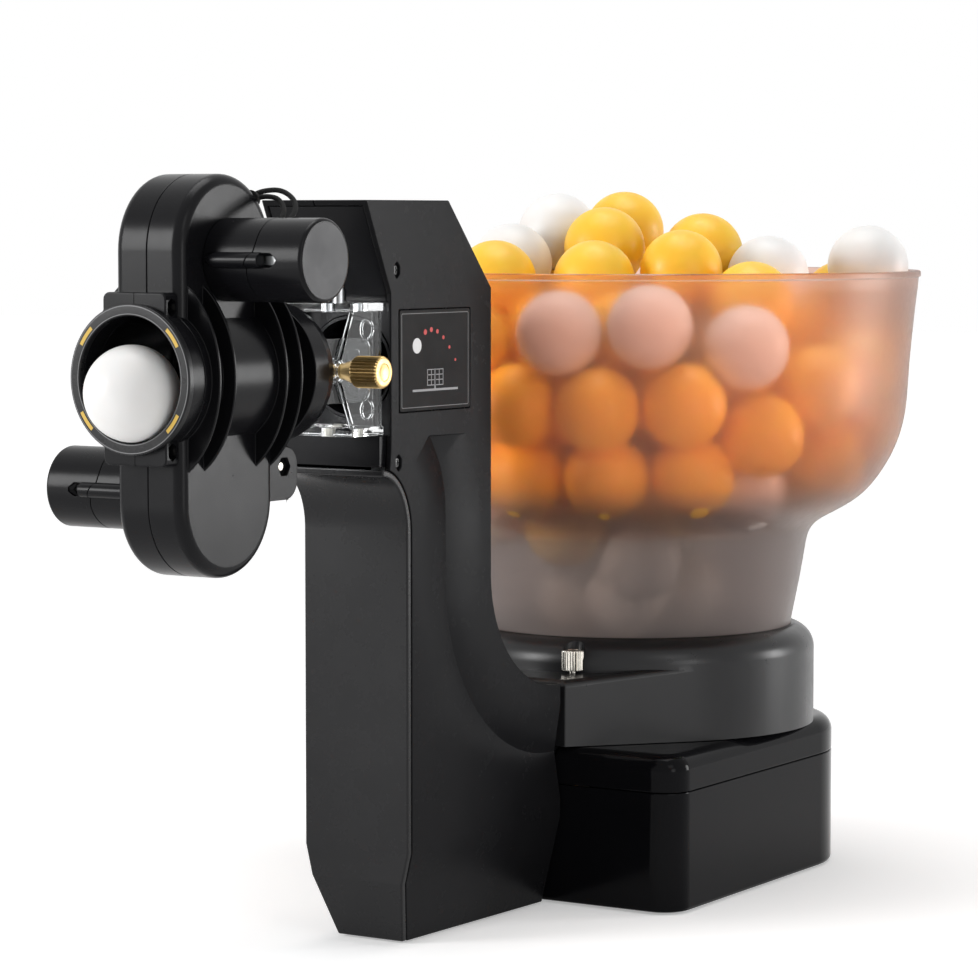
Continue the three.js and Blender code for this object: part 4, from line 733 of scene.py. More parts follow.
def ribbon(outer, inner, start, end):
    """A flat band along X between two outlines of the same count."""
    size = len(outer)
    verts = [(x, a, b) for x in (start, end) for line in (outer, inner) for a, b in line]
    faces = []
    for low, high in ((2, 3), (0, 1), (0, 2), (1, 3)):
        for i in range(size):
            j = (i + 1) % size
            faces.append((low * size + i, low * size + j, high * size + j, high * size + i))
    return new_object(verts, faces)


def make_label():
    y0, y1, z0, z1 = LABEL
    margin = 1.4
    plate = prism("x", rounded(rectangle(*LABEL, 1.2), 5), *PLATE_X, 0.12)
    place(plate, "side_plate", "base", PLATE, ["label_plate_right"])
    outer = rounded(rectangle(y0 + margin, y1 - margin, z0 + margin, z1 - margin, 0.9), 5)
    place(ribbon(outer, offset(outer, 0.3), PRINT_X[0], 28.23), "plate_border", "base", LINE_GREY)
    make_picture()


def make_picture():
    """A plain picture of a ball on its way over a net."""
    place(disc("x", (7.5, 268.5), 3.4, *PRINT_X, 48), "plate_ball", "base", PRINT_WHITE)
    dots = []
    for i in range(6):
        t = i / 5
        y, z = 14 + 24 * t, 270.5 + 5.5 * sin(pi * (0.25 + 0.75 * t)) - 9 * t * t
        dots.append(disc("x", (y, z), 1.25 - 0.12 * i, *PRINT_X, 32))
    place(together(*dots), "plate_trail", "base", PRINT_RED)
    line, mesh = 0.4, (15.5, 28.3)
    bars = [block(PRINT_X, (4, 40), (248.2, 249.2)), block(PRINT_X, (21.2, 22.2), (249.2, 258))]
    for y in [mesh[0] + 3.1 * k for k in range(5)]:
        bars.append(block(PRINT_X, (y, y + line), (251, 257.5)))
    for z in [250.6 + 2.3 * k for k in range(4)]:
        bars.append(block(PRINT_X, mesh, (z, z + line)))
    place(together(*bars), "plate_table", "base", PRINT_GREY)


# The swing frame, the tilt yoke and the collar

TILT_BORE = 2.8


def make_swing():
    half, height, plate, wall = 24.6, FRAME_HALF_HEIGHT, 4, 1.5
    tilt_y = TILT_Y - SWING_Y
    flanges = []
    for side in (-1, 1):
        low, high = sided(side, height - plate, height)
        outline = rounded([(-half, -25, 1.2), (half, -25, 1.2), (half, -1, 0.8), (-half, -1, 0.8)], 4)
        recess = sorted((low + 2 - side * 1.5, low + 2 - side * 4.5))
        flange = prism("z", outline, low, high, 0.5)
        flanges.append(cut(flange, block((-half + 3, half - 3), (-22, -9), recess, 0.3)))
    frame_piece = join(*flanges)
    cheek = [(-3, height), (-9, height), (-23, height), (tilt_y, 5)]
    cheek = [(y, -z) for y, z in cheek[:1]] + cheek + [(y, -z) for y, z in reversed(cheek[1:])]
    for side in (1, -1):
        skin, rib = sided(side, half - wall, half), sided(side, half - 2.6, half - 1.4)
        web = prism("x", cheek, *skin, 0.25)
        boss = disc("x", (tilt_y, 0), 5, *skin, 64, 0.3)
        post = block(sided(side, half - 3, half), (-7, -3), (-height, height), 0.5)
        frame_piece = join(frame_piece, web, boss, post)
        details = [tube("x", (-12, z), 4.6, 3.9, *rib, 48, 0.1) for z in (17.5, -17.5)]
        for tip in (1, -1):
            top, foot = tip * (height - 3.5), tip * 6
            details.append(prism("x", [(-23.2, top), (-22.0, top), (-31.4, foot), (-32.6, foot)], *rib))
        frame_piece = join(frame_piece, *details)
    bore = disc("x", (tilt_y, 0), TILT_BORE, -half - OVER, half + OVER, 48)
    cut(frame_piece, bore, disc("z", (0, 0), 3.3, -height - OVER, height + OVER, 48))
    place(frame_piece, "clear_frame", "swing", CLEAR, ["swing_frame"], (0, SWING_Y, LAUNCH), 25)
    pin = turned("z", rounded([(0, 25, 0), (3, 25, 0.4), (3, 44, 0.4), (0, 44, 0)], 3), (0, 0), 48)
    place(pin, "pivot_pin", "swing", STEEL, ["swing_pin"], (0, SWING_Y, LAUNCH))


def make_tilt():
    at = (0, TILT_Y, LAUNCH)
    plate, rim = (20.9, 22.5), (19.9, 21.0)
    ring_front, ring_rear = -12, -9
    outline = rounded([(-12, -14, 0.4), (24, -14, 6), (24, 14, 6), (-12, 14, 0.4)], 8)
    cheeks = [prism("x", outline, *sided(side, *plate), 0.3) for side in (1, -1)]
    yoke = join(*cheeks, tube("y", (0, 0), 26, 21, ring_front, ring_rear, 96, 0.3))
    details = []
    for side in (1, -1):
        x = sided(side, *rim)
        details.append(tube("x", (0, 0), 5.6, 4.6, *x, 48, 0.1))
        details.append(prism("x", rounded(rectangle(8, 17, -9, 9, 2), 4), *x, 0.2))
        details += [block(x, (-9.5, -5.5), z, 0.2) for z in ((-12.5, -8.5), (8.5, 12.5))]
    yoke = join(yoke, *details)
    cut(yoke, disc("x", (0, 0), TILT_BORE, -24.5, 24.5, 48))
    place(yoke, "clear_yoke", "tilt", CLEAR, ["tilt_yoke"], at, 25)

    bore, outer, sleeve = 21, 30.5, 24
    rear = ring_front - GAP
    front = rear - 14.7
    end = front - 23
    profile = [
        (bore, rear, 0.3), (outer - 1.2, rear, 1.4), (outer, rear - 5, 3), (outer, front, 0.5),
        (sleeve, front, 0), (sleeve, end, 0.4), (bore, end, 0.4),
    ]
    place(turned("y", rounded(profile, 5), (0, 0), 128), "collar_ring", "tilt", SATIN, ["collar"], at)
    head, neck, shank = -27.1, -24.9, 2.5
    profile = [(0, head, 0), (5, head, 1), (5, neck, 0.2), (shank, neck, 0), (shank, -19, 0.4), (0, -19, 0)]
    slot = block((head - 0.9, head + 0.8), (-3.6, 3.6), (-0.45, 0.45))
    place(cut(turned("x", rounded(profile, 3)), slot), "tilt_pivot", "tilt", STEEL, ["tilt_pin"], at)


def knurled(axis, radius, start, end, count, depth, chamfer, per=6):
    """A knurled head with rounded ridges and a chamfered outer end."""
    total = count * per
    wave = [radius - depth * (0.5 - 0.5 * cos(2 * pi * i / per)) ** 0.7 for i in range(total)]
    levels = [
        (start, -chamfer * 0.5), (start + chamfer * 0.5, 0), (end - chamfer, 0),
        (end - chamfer * 0.4, -chamfer * 0.6), (end, -chamfer * 1.6),
    ]
    sections = []
    for along, grow in levels:
        ring = [(min(r, radius + grow), 2 * pi * i / total) for i, r in enumerate(wave)]
        sections.append([lift(axis, r * cos(t), r * sin(t), along) for r, t in ring])
    return loft(sections)


def make_knob():
    tip, collar, sleeve = 19, 24.9, 33.2
    profile = [
        (0, tip, 0), (2.5, tip, 0.4), (2.5, collar, 0), (3.6, collar, 0.3), (3.6, 26.4, 0.3),
        (5.9, sleeve, 0.2), (0, sleeve, 0),
    ]
    head = knurled("x", 6.9, 33, 47, 30, 0.6, 1.0)
    cut(head, turned("x", [(0, 46.2), (3.6, 46.75), (4.4, 47.3), (0, 48)], (0, 0), 72))
    knob = join(turned("x", rounded(profile, 3), (0, 0), 72), head)
    place(knob, "brass_knob", "knob", BRASS, ["clamp_knob"], (0, TILT_Y, LAUNCH), 24)


# The head, with the line of the throw as its middle

CASE_HALF = 17.5
CASE_RISE = 52
CASE_SCREW = (42.2, 39.8)
FINS = (-27, -16.5, 19, 29.5)
BARREL_BORE = 26
BARREL_REACH = 30
NUT_SEAT = 12.5
# The motors' covers: radius, and where they start and end along X
MOTOR_RADIUS = 17.3
MOTOR_START = CASE_HALF + GAP
MOTOR_END = 67
# The block and the ring at the front, as places along Y
NOSE_REAR = -32.3
NOSE_FRONT = -40.5
NOSE_SCREW_RISE = 29.5
RING_REAR = NOSE_FRONT - GAP
RING_FRONT = -44.0
RING_PRINT = -43.9


def stadium(radius, steps=32):
    top = arc((0, CASE_RISE), radius, radius, 0, 180, steps)
    return top + arc((0, -CASE_RISE), radius, radius, 180, 360, steps)


def half_space(span_y, reach):
    """All on the -X side of the plane in which the head's halves meet, with half of the gap."""
    return block((-36, GAP / 2), span_y, (-reach, reach))


def casing_half():
    """The +X half. The other half is the same piece turned over."""
    slab = prism("x", stadium(32), -CASE_HALF, CASE_HALF, 5.0, 8)
    room = prism("x", stadium(29.8), -14.8, 14.8)
    core = join(
        disc("y", (0, 0), 28, FINS[0], FINS[3]),
        disc("y", (0, 0), BARREL_REACH, FINS[1], FINS[2], 96, 0.6),
        disc("y", (0, 0), BARREL_REACH, -32, FINS[0]),
    )
    fin = arc((0, 0), 34, 44.4, 0, 360, 96)[:-1]
    body = join(slab, core, *[prism("y", fin, at - 0.75, at + 0.75, 0.3, 2) for at in FINS])
    for side in (1, -1):
        low, high = sided(side, 31.2, 54)
        root = prism("x", [(29.8, low), (44, low), (44, high), (29.8, high)], -15, 15)
        body = join(body, root, prism("x", rounded(rectangle(29.8, 52, low, high, 8), 8), -15, 15, 0.8))
    tools = [
        room,
        disc("x", (0, WHEEL_RISE), 17.6, CASE_HALF, 36),
        disc("x", (-MOTOR_RADIUS, WHEEL_RISE), 3.5, CASE_HALF, 36, 40),
        disc("y", (0, 0), BARREL_BORE, -34, 18),
        disc("y", (0, 0), 24.3, 16, 34),
        disc("x", (0, WHEEL_RISE), 4, 0, CASE_HALF + OVER),
        half_space((-90, 90), 90),
    ]
    for side in (1, -1):
        screw = (CASE_SCREW[0], side * CASE_SCREW[1])
        tools += [disc("x", screw, 2.2, -17, 17, 40), prism("x", hexagon(screw, 4.3), NUT_SEAT, 17)]
    return cut(body, *tools)


def parting(z):
    """The wavy line in which a motor's sleeve and cap meet, as a place along X."""
    return 41.15 + 2.6 * tanh(z / 5.0) * (1 - 0.35 * (z / MOTOR_RADIUS) ** 2)


def parting_side(before, gap):
    """A block that holds all on one side of the parting line."""
    reach = 24.0
    line = [(parting(float(z)) + (-gap if before else gap), float(z)) for z in np.linspace(-reach, reach, 40)]
    far = 0.0 if before else 80.0
    outline = [(far, -reach), *line, (far, reach)]
    return prism("y", outline if before else outline[::-1], -26, 26)


def motor_cover():
    """The sleeve and the cap of one motor, with the rib that runs along both."""
    radius = MOTOR_RADIUS
    profile = [(0, MOTOR_START, 0), (radius, MOTOR_START, 0), (radius, MOTOR_END, 1.6), (0, MOTOR_END, 0)]
    body = turned("x", rounded(profile, 6), (0, 0), 128)
    rib_line = [(0, 17.9), (1.2, 19.6), (2.3, 21.4), (3.2, 24), (3.2, 47), (0, 47)]
    rib = turned("x", rib_line, (-radius, 0), 48)
    notch = prism("x", hexagon((-radius, 0), 3.4), 47, 51.5)
    ends = [(51.5, 3.4), (54.5, 3.4 * 0.3)]
    tip = loft([[(x, a, b) for a, b in hexagon((-radius, 0), size)] for x, size in ends])
    whole = cut(join(body, rib), join(notch, tip), disc("x", (0, 0), 15, 10, MOTOR_END - WALL))
    sleeve = meet(copy(whole), parting_side(True, GAP / 2))
    return soften(sleeve, 0.25, 2, 40), soften(meet(whole, parting_side(False, GAP / 2)), 0.25, 2, 40)


def nozzle_half():
    middle = (NOSE_REAR + NOSE_FRONT) / 2
    through = (NOSE_FRONT - OVER, NOSE_REAR + OVER)
    outline = rounded(rectangle(-16.25, 16.25, -35.5, 35.5, 3), 6)
    plate = prism("y", outline, NOSE_FRONT, NOSE_REAR, 0.7)
    body = join(plate, disc("y", (0, 0), BARREL_REACH, NOSE_FRONT, NOSE_REAR, 96, 0.4))
    tools = [disc("y", (0, 0), BARREL_BORE, *through), half_space(through, 72)]
    for z in (NOSE_SCREW_RISE, -NOSE_SCREW_RISE):
        tools.append(disc("x", (middle, z), 1.8, 0, 18.3, 32))
        tools.append(prism("x", hexagon((middle, z), 3.6, 30, 0.85, 1.1), 12.6, 18.3))
    return cut(body, *tools)


def front_ring():
    inner, outer, rear, front = BARREL_BORE, 31, RING_REAR, RING_FRONT
    profile = [(inner, rear, 0), (outer, rear, 0.3), (outer, front, 0.7), (inner, front, 0.7)]
    return turned("y", rounded(profile, 4), (0, 0), 160)


def ring_dash(middle, half=9, steps=14):
    """A short flat arc on the ring's face."""
    outer, inner = 29.2, 27.6
    outline = arc((0, 0), outer, outer, middle - half, middle + half, steps)
    outline += arc((0, 0), inner, inner, middle + half, middle - half, steps)
    return prism("y", outline, RING_FRONT - 0.08, RING_PRINT)


def make_ring():
    at = (0, WHEEL_Y, LAUNCH)
    place(front_ring(), "front_ring", "head", COVER, ["nozzle_ring"], at)
    radii = ((30.35, 29.95), (26.95, 26.6))
    lines = [tube("y", (0, 0), outer, inner, RING_FRONT - 0.05, RING_PRINT, 160) for outer, inner in radii]
    place(together(*lines), "ring_lines", "head", LINE_GREY, (), at)
    dashes = [ring_dash(angle) for angle in (38, 142, 218, 322)]
    place(together(*dashes), "ring_dashes", "head", PRINT_YELLOW, (), at)


def make_motors():
    at = (0, WHEEL_Y, LAUNCH)
    covers = dict(zip(("sleeve", "cap"), motor_cover()))
    for word, turn in (("upper", Matrix.Identity(4)), ("lower", TURN_OVER)):
        for kind, piece in covers.items():
            made = transform(copy(piece), turn @ Matrix.Translation((0, 0, WHEEL_RISE)))
            place(made, f"{word}_{kind}", "head", SATIN, [f"{word}_motor_{kind}"], at, 25)
        # A thin disc of grey on the cap's end is painted reflection, standing in for the light its flat end
        # face reflects.
        face = disc("x", (0, WHEEL_RISE), 15.5, MOTOR_END - 0.02, MOTOR_END + 0.02, 96)
        place(transform(face, turn), f"{word}_cap_sheen_disc", "head", CAP_SHEEN, (), at)
    for piece in covers.values():
        bpy.data.objects.remove(piece)


def make_screws():
    at = (0, WHEEL_Y, LAUNCH)
    middle = (NOSE_REAR + NOSE_FRONT) / 2
    screws = [disc("x", (CASE_SCREW[0], side * CASE_SCREW[1]), 2.0, 2, 13.4, 40, 0.5) for side in (-1, 1)]
    screws += [disc("x", (middle, side * NOSE_SCREW_RISE), 1.65, 1, 13.6, 40, 0.5) for side in (1, -1)]
    right = together(*screws)
    left = transform(copy(right), TURN_OVER)
    place(right, "screws_right", "head", NICKEL, (), at)
    place(left, "screws_left", "head", NICKEL, (), at)


# The two motor leads, as points measured from the middle of the head
LEADS = [
    [
        (9, 25.2, 73.2), (9.6, 27.6, 75.2), (14, 29.8, 77.2), (23, 30, 77.6),
        (31.5, 27.6, 73.6), (36, 22.6, 69), (37, 16.8, 65.2), (37, 13, 61.5),
    ],
    [
        (13, 25.2, 73.2), (13.4, 26.4, 74.2), (17, 27.2, 74.8), (23, 26.8, 74.2),
        (28, 24.4, 71.2), (31.4, 20.4, 67.8), (32.6, 16.4, 64.9), (32.6, 13, 61.5),
    ],
]
LEAD_RADIUS = 1.1


def lead_piece(route, name):
    """A lead along a route, as a smooth tube."""
    curve = bpy.data.curves.new(name, "CURVE")
    curve.dimensions = "3D"
    curve.bevel_depth = LEAD_RADIUS * MM
    curve.bevel_resolution = 6
    curve.resolution_u = 10
    curve.use_fill_caps = True
    spline = curve.splines.new("NURBS")
    spline.points.add(len(route) - 1)
    for point, (x, y, z) in zip(spline.points, route):
        point.co = (x * MM, (y + WHEEL_Y + FRAME_SHIFT) * MM, (z + LAUNCH) * MM, 1)
    spline.order_u = 3
    spline.use_endpoint_u = True
    curve.materials.append(RUBBER)
    return linked(curve)


def make_leads():
    for i, route in enumerate(LEADS, 1):
        lead = lead_piece(route, f"lead_{i}")
        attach(lead, "head")
        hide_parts(f"motor_lead_{i}")
    gland = turned("y", rounded([(0, 24, 0), (4.2, 24, 0.4), (3.4, 27, 0.6), (0, 27, 0)], 3), (11, 73.4), 48)
    place(gland, "lead_grommet", "head", RUBBER, (), (0, WHEEL_Y, LAUNCH))


def make_head():
    at = (0, WHEEL_Y, LAUNCH)
    right = soften(casing_half(), 0.3, 2, 42)
    left = transform(copy(right), TURN_OVER)
    place(right, "case_right", "head", SATIN, ["casing_right"], at, 22)
    place(left, "case_left", "head", SATIN, ["casing_left"], at, 22)
    right = nozzle_half()
    left = transform(copy(right), TURN_OVER)
    place(right, "nozzle_right", "head", SATIN, ["nozzle_block_right"], at)
    place(left, "nozzle_left", "head", SATIN, ["nozzle_block_left"], at)
    make_ring()
    make_motors()
    make_screws()
    make_leads()
    shot = (0, WHEEL_Y - 42, LAUNCH - BARREL_BORE + GAP + BALL)
    place(ball(48, 96), "ball_at_mouth", "head", WHITE_BALL, ["ball_in_nozzle"], shot)
    rim, crown = (27.6, 12, 0.6), (29, 10.5, 0.8)
    half = [(20.15, 12, 0.2), rim, crown]
    tyre = [(r, -x, edge) for r, x, edge in half] + half[::-1]
    for word, side in (("upper", 1), ("lower", -1)):
        made = turned("x", rounded(tyre, 3), (0, 0), 96)
        where = (0, WHEEL_Y, LAUNCH + side * WHEEL_RISE)
        place(made, f"{word}_tyre", f"{word}_wheel", FOAM, [f"{word}_wheel_tyre"], where)


# The base, with the feeder's axis as its middle

BASE_FRONT = -108.7
BASE_REAR = 102.0
FRONT_HALF = 89
REAR_HALF = 80
COVER_SHOULDER = 67
COVER_EDGE = 8
HOUSING_RADIUS = 91
HOUSING_LOW = 75.3
SCREW_PLACE = (20, -88)
INLET = (12, 32)
SWITCH = (-10, 32)
PANEL = 102.3


def base_loft(levels, steps=14):
    """A solid through levels of inset and height, each with the base's plan."""
    sections = []
    for inset, z in levels:
        front, rear = FRONT_HALF - inset, REAR_HALF - inset
        plan = [
            (-front, BASE_FRONT + inset, 14 - inset), (front, BASE_FRONT + inset, 14 - inset),
            (rear, BASE_REAR - inset, 58 - inset), (-rear, BASE_REAR - inset, 58 - inset),
        ]
        sections.append([(a, b, z) for a, b in rounded(plan, steps)])
    return loft(sections)


def make_base():
    at = (0, FEEDER, 0)
    entry = BASE_FRONT - OVER
    tray = base_loft([
        (1.6, GROUND), (0.5, GROUND + 0.5), (0, GROUND + 1.6), (0, 56.6), (0.15, 57.0), (0.5, 57.2),
        (WALL, 57.2), (WALL, GROUND + WALL),
    ])
    panel = (97.5, 104)
    inlet_hole = disc("y", INLET, 5.8, *panel, 48)
    switch_hole = block((SWITCH[0] - 6.8, SWITCH[0] + 6.8), panel, (SWITCH[1] - 9.8, SWITCH[1] + 9.8))
    cut(tray, inlet_hole, switch_hole, disc("y", (0, DUCT_Z), DUCT_HOLE, entry, -90))
    tongue = block((-TONGUE_HALF, TONGUE_HALF), (-218, -107.5), (TONGUE_LOW, TONGUE_TOP), 0.6)
    place(tray, "tray", "base", GLOSS, ["base_tray"], at, 20)
    place(tongue, "tray_tongue", "base", SATIN, (), at)

    levels = [(0.5, 57.5), (0.15, 57.7), (0, 58.1), (0, COVER_SHOULDER)]
    for t in np.linspace(0.12, pi / 2, 12):
        levels.append((COVER_EDGE * (1 - cos(t)), COVER_SHOULDER + COVER_EDGE * sin(t)))
    cover = base_loft(levels)
    inner = base_loft([(WALL, 55), (WALL, 66), (4.5, 70.5), (9.5, 72.5)])
    slot = block((-DUCT_HOLE, DUCT_HOLE), (entry, 0), (55, 77))
    cut(cover, inner, disc("z", (0, 0), 80, 57, 77, 128), slot)
    place(cover, "tray_cover", "base", GLOSS, ["base_cover"], at, 20)
    make_housing(at)
    make_base_details(at)


def channel_outline(inset, steps=40):
    """The housing's round back, with the channel in front of it."""
    radius = HOUSING_RADIUS - inset
    half, front = TOWER_HALF - inset, 108 - inset
    touch = degrees(atan2(-front, half) + acos(radius / hypot(half, front)))
    sweep = arc((0, 0), radius, radius, touch, 180 - touch, steps)
    nose = rounded([(-half, -front, 1.2), (half, -front, 1.2), (*sweep[0], 0), (*sweep[-1], 0)], 4)
    return nose[:10] + sweep


def channel_top(y):
    """The channel's deck falls towards the tower."""
    low, fall, front, length = 106, 6, -110, 38
    return low + fall * max(0.0, min(1.0, (y - front) / length))


def duct_passage():
    return disc("y", (0, DUCT_Z), DUCT_HOLE, -112, -60)


def make_housing(at):
    edge, skin, top, seat, deck = 3.2, HOUSING_RADIUS - 2.5, 124, 116.7, 113
    sections = [[(a, b, HOUSING_LOW) for a, b in channel_outline(0)]]
    for turn in [pi / 2 * i / 6 for i in range(7)]:
        inset, drop = edge * (1 - cos(turn)), edge * (1 - sin(turn))
        sections.append([(a, b, channel_top(b) - drop) for a, b in channel_outline(inset)])
    channel = loft(sections)
    cut(channel, disc("z", (0, 0), 88.6, 70, 140, 128), duct_passage())
    profile = [
        (skin, HOUSING_LOW, 0), (HOUSING_RADIUS, HOUSING_LOW, 0), (HOUSING_RADIUS, top, 12), (80.9, top, 0.4),
        (80.9, seat, 0), (72, seat, 0.3), (72, deck, 0.3), (85, deck, 2), (skin, deck - 5, 2),
    ]
    drum = turned("z", rounded(profile, 10), (0, 0), 160)
    housing = join(cut(drum, duct_passage()), channel)
    cut(housing, disc("z", SCREW_PLACE, 5.65, 108.9, 125, 48), disc("z", SCREW_PLACE, 2.3, 80, 125, 32))
    place(housing, "feeder_housing", "base", TIER, ["feed_housing"], at, 24)
    ring = tube("z", (0, 0), 80.5, 72.3, 117, 120.7, 128, 0.5)
    place(ring, "bowl_seat", "base", RUBBER, ["hopper_seat"], at)


def make_base_details(at):
    for i, foot in enumerate([(62, -84), (-62, -84), (40, 74), (-40, 74)], 1):
        place(disc("z", foot, 8, 0, 1.7, 64, 0.6), f"foot_pad_{i}", "base", RUBBER, [f"rubber_foot_{i}"], at)
    head = knurled("z", 5.35, 109.2, 119, 26, 0.45, 0.8)
    cut(head, turned("z", [(0, 118.3), (2.6, 118.6), (3.3, 119.2), (0, 120)], (0, 0), 64))
    screw = join(head, disc("z", (0, 0), 2, 100, 110, 40, 0.4))
    screw_at = (SCREW_PLACE[0], FEEDER + SCREW_PLACE[1], 0)
    place(screw, "nickel_thumbscrew", "thumbscrew", NICKEL, ["thumbscrew"], screw_at, 24)

    bore, body, flange, rear = 3.4, 5.5, 7.5, 103.5
    profile = [
        (bore, 93.3, 0), (body, 88.3, 0), (body, PANEL, 0), (flange, PANEL, 0), (flange, rear, 0.4),
        (bore, rear, 0.4),
    ]
    place(turned("y", rounded(profile, 3), INLET, 64), "inlet_socket", "base", SATIN, ["power_inlet"], at)
    place(disc("y", INLET, 0.9, 93, 101, 32, 0.3), "inlet_pin", "base", NICKEL, (), at)
    make_switch(at)


def around(middle, half):
    return (middle - half, middle + half)


def make_switch(at):
    x, z = SWITCH
    plate = rounded(rectangle(*around(x, 8.5), *around(z, 11.5), 1.5), 5)
    body = join(prism("y", plate, PANEL, 103.9, 0.4), block(around(x, 6.5), (90.3, 103.5), around(z, 9.5)))
    cut(body, block(around(x, 5.3), (91.9, 105.9), around(z, 8.3)))
    place(body, "switch_bezel", "base", SATIN, ["switch_frame"], at)
    half, reach, face, lean, pivot_depth = 4.9, 7.4, 4.6, radians(8), 3
    drop = reach * tan(lean)
    profile = [
        (-3, -reach / 2, 0.3), (face - drop / 2, -reach, 0.5), (face - drop * 0.1, 0, 6),
        (face - drop / 2, reach, 0.5), (-3, reach / 2, 0.3),
    ]
    rocker = prism("x", rounded(profile, 5), -half, half, 0.35)
    ring, bar = tube("y", (0, -4.4), 1.1, 0.75, 4.0, 4.3, 32), block((-0.2, 0.2), (4.0, 4.25), (3.2, 5.6))
    tilt = Matrix.Translation((x, PANEL - pivot_depth, z)) @ Matrix.Rotation(lean, 4, "X")
    place(transform(rocker, tilt), "rocker_key", "rocker", GLOSS, ["switch_rocker"], at)
    place(transform(together(ring, bar), tilt), "rocker_marks", "rocker", PRINT_WHITE, (), at)


# The hopper and its load

# The hopper's outer face as radius and height, up to the rim
HOPPER_LINE = [
    (79.6, 121), (79.4, 124), (80.0, 128), (81.2, 134), (82.6, 141), (83.8, 147), (85.0, 154), (86.0, 160),
    (87.0, 166), (88.2, 170.2), (90.6, 173.6), (93.8, 176.3), (98.0, 178.7), (102.0, 180.8), (106.0, 183.0),
    (110.2, 185.6), (114.4, 188.8), (118.4, 192.8), (122.2, 197.6), (125.6, 202.8), (128.6, 208.0),
    (131.0, 213.4), (133.0, 219.0), (134.6, 225.4), (135.7, 232.0), (136.5, 242.0), (137.2, 254.0),
    (138.1, 264.0), (139.1, 275.0), (140.2, 285.0), (141.0, 291.0),
]
HOPPER_RIM = [
    (141.2, 294, 0), (141.4, 296, 0.8), (142.4, 296, 0.5),
    (142.4, 299, 1.0), (139.0, 299, 0.8), (138.8, 293, 0),
]
HOPPER_WALL = 2.2
# How far the balls' room lies inside the outer face
LOAD_INSET = 2.6


def make_hopper():
    outer = [HOPPER_LINE[0]]
    for (a, b), (c, d) in zip(HOPPER_LINE, HOPPER_LINE[1:]):
        outer += [(0.75 * a + 0.25 * c, 0.75 * b + 0.25 * d), (0.25 * a + 0.75 * c, 0.25 * b + 0.75 * d)]
    outer.append(HOPPER_LINE[-1])
    inner = []
    for i, (r, z) in enumerate(outer):
        (a, b), (c, d) = outer[max(i - 1, 0)], outer[min(i + 1, len(outer) - 1)]
        along = Vector((c - a, d - b)).normalized()
        inner.append((r - along.y * HOPPER_WALL, z + along.x * HOPPER_WALL))
    profile = [*outer, *rounded(HOPPER_RIM, 5), *reversed(inner)]
    place(turned("z", profile, (0, 0), 192), "bowl", "base", SMOKY, ["hopper"], (0, FEEDER, 0), 40)


def wall_radius(z):
    if z <= HOPPER_LINE[0][1]:
        return HOPPER_LINE[0][0] - LOAD_INSET
    for (a, b), (c, d) in zip(HOPPER_LINE, HOPPER_LINE[1:]):
        if b <= z <= d:
            return a + (c - a) * (z - b) / (d - b) - LOAD_INSET
    return HOPPER_LINE[-1][0] - LOAD_INSET


# The balls that show over the rim or press against the wall, in the hopper's own frame
SHOWN = [
    ((-45, -41, 302), "white"), ((-30, -79, 294), "orange"), ((-43, -1, 317), "white"),
    ((-6, -17, 310), "orange"), ((-28, 39, 318), "orange"), ((10, -53, 294), "orange"),
    ((43, -26, 299), "orange"), ((31, 16, 307), "orange"), ((70, 12, 296), "white"),
    ((82, -26, 284), "orange"), ((98, 64, 301), "white"), ((27, -112, 271), "white"),
    ((66, -95, 274), "white"), ((98, -60, 264), "white"), ((4, -112, 236), "orange"),
    ((43, -104, 235), "orange"), ((77, -82, 237), "orange"), ((99, -47, 222), "orange"),
    ((112, -15, 244), "orange"), ((-2, -95, 202), "orange"), ((38, -87, 202), "orange"),
    ((72, -65, 203), "orange"), ((100, 12, 207), "orange"), ((-24, -113, 266), "orange"),
    ((97, 62, 261), "orange"), ((35, -51, 160), "white"), ((111, 25, 249), "orange"),
    ((72, 88, 240), "orange"), ((70, 90, 283), "orange"),
    ((97, 51, 222), "orange"), ((67, 70, 203), "orange"),
]
LOAD_COUNT = 118
LOAD_SPAN = (125, 300)
SETTLING_STEPS = 420
FALLING_STEPS = 330
FALL = 0.9
LOAD_GAP = 0.15
PUSH = 0.55
ROTOR_TOP = 96.5


def fill_bowl():
    """Settles a load of balls: each falls a little, and is pushed off its neighbours and the wall."""
    rng = np.random.default_rng(7)
    fixed = np.array([p for p, _ in SHOWN], float)
    points = []
    while len(points) < LOAD_COUNT:
        z = rng.uniform(*LOAD_SPAN)
        reach = wall_radius(z) - BALL
        p = np.array([rng.uniform(-reach, reach), rng.uniform(-reach, reach), z])
        if np.hypot(p[0], p[1]) < reach:
            points.append(p)
    points = np.array(points)
    own = np.arange(LOAD_COUNT)
    for step in range(SETTLING_STEPS):
        if step < FALLING_STEPS:
            points[:, 2] -= FALL
        for _ in range(3):
            apart = points[:, None, :] - np.vstack([points, fixed])[None, :, :]
            far = np.linalg.norm(apart, axis=2)
            far[own, own] = np.inf
            deep = np.clip(2 * BALL + LOAD_GAP - far, 0, None)
            deep[:, :LOAD_COUNT] *= 0.5
            points += (apart / np.maximum(far, TINY)[:, :, None] * deep[:, :, None]).sum(axis=1) * PUSH
            keep_in(points)
    return points


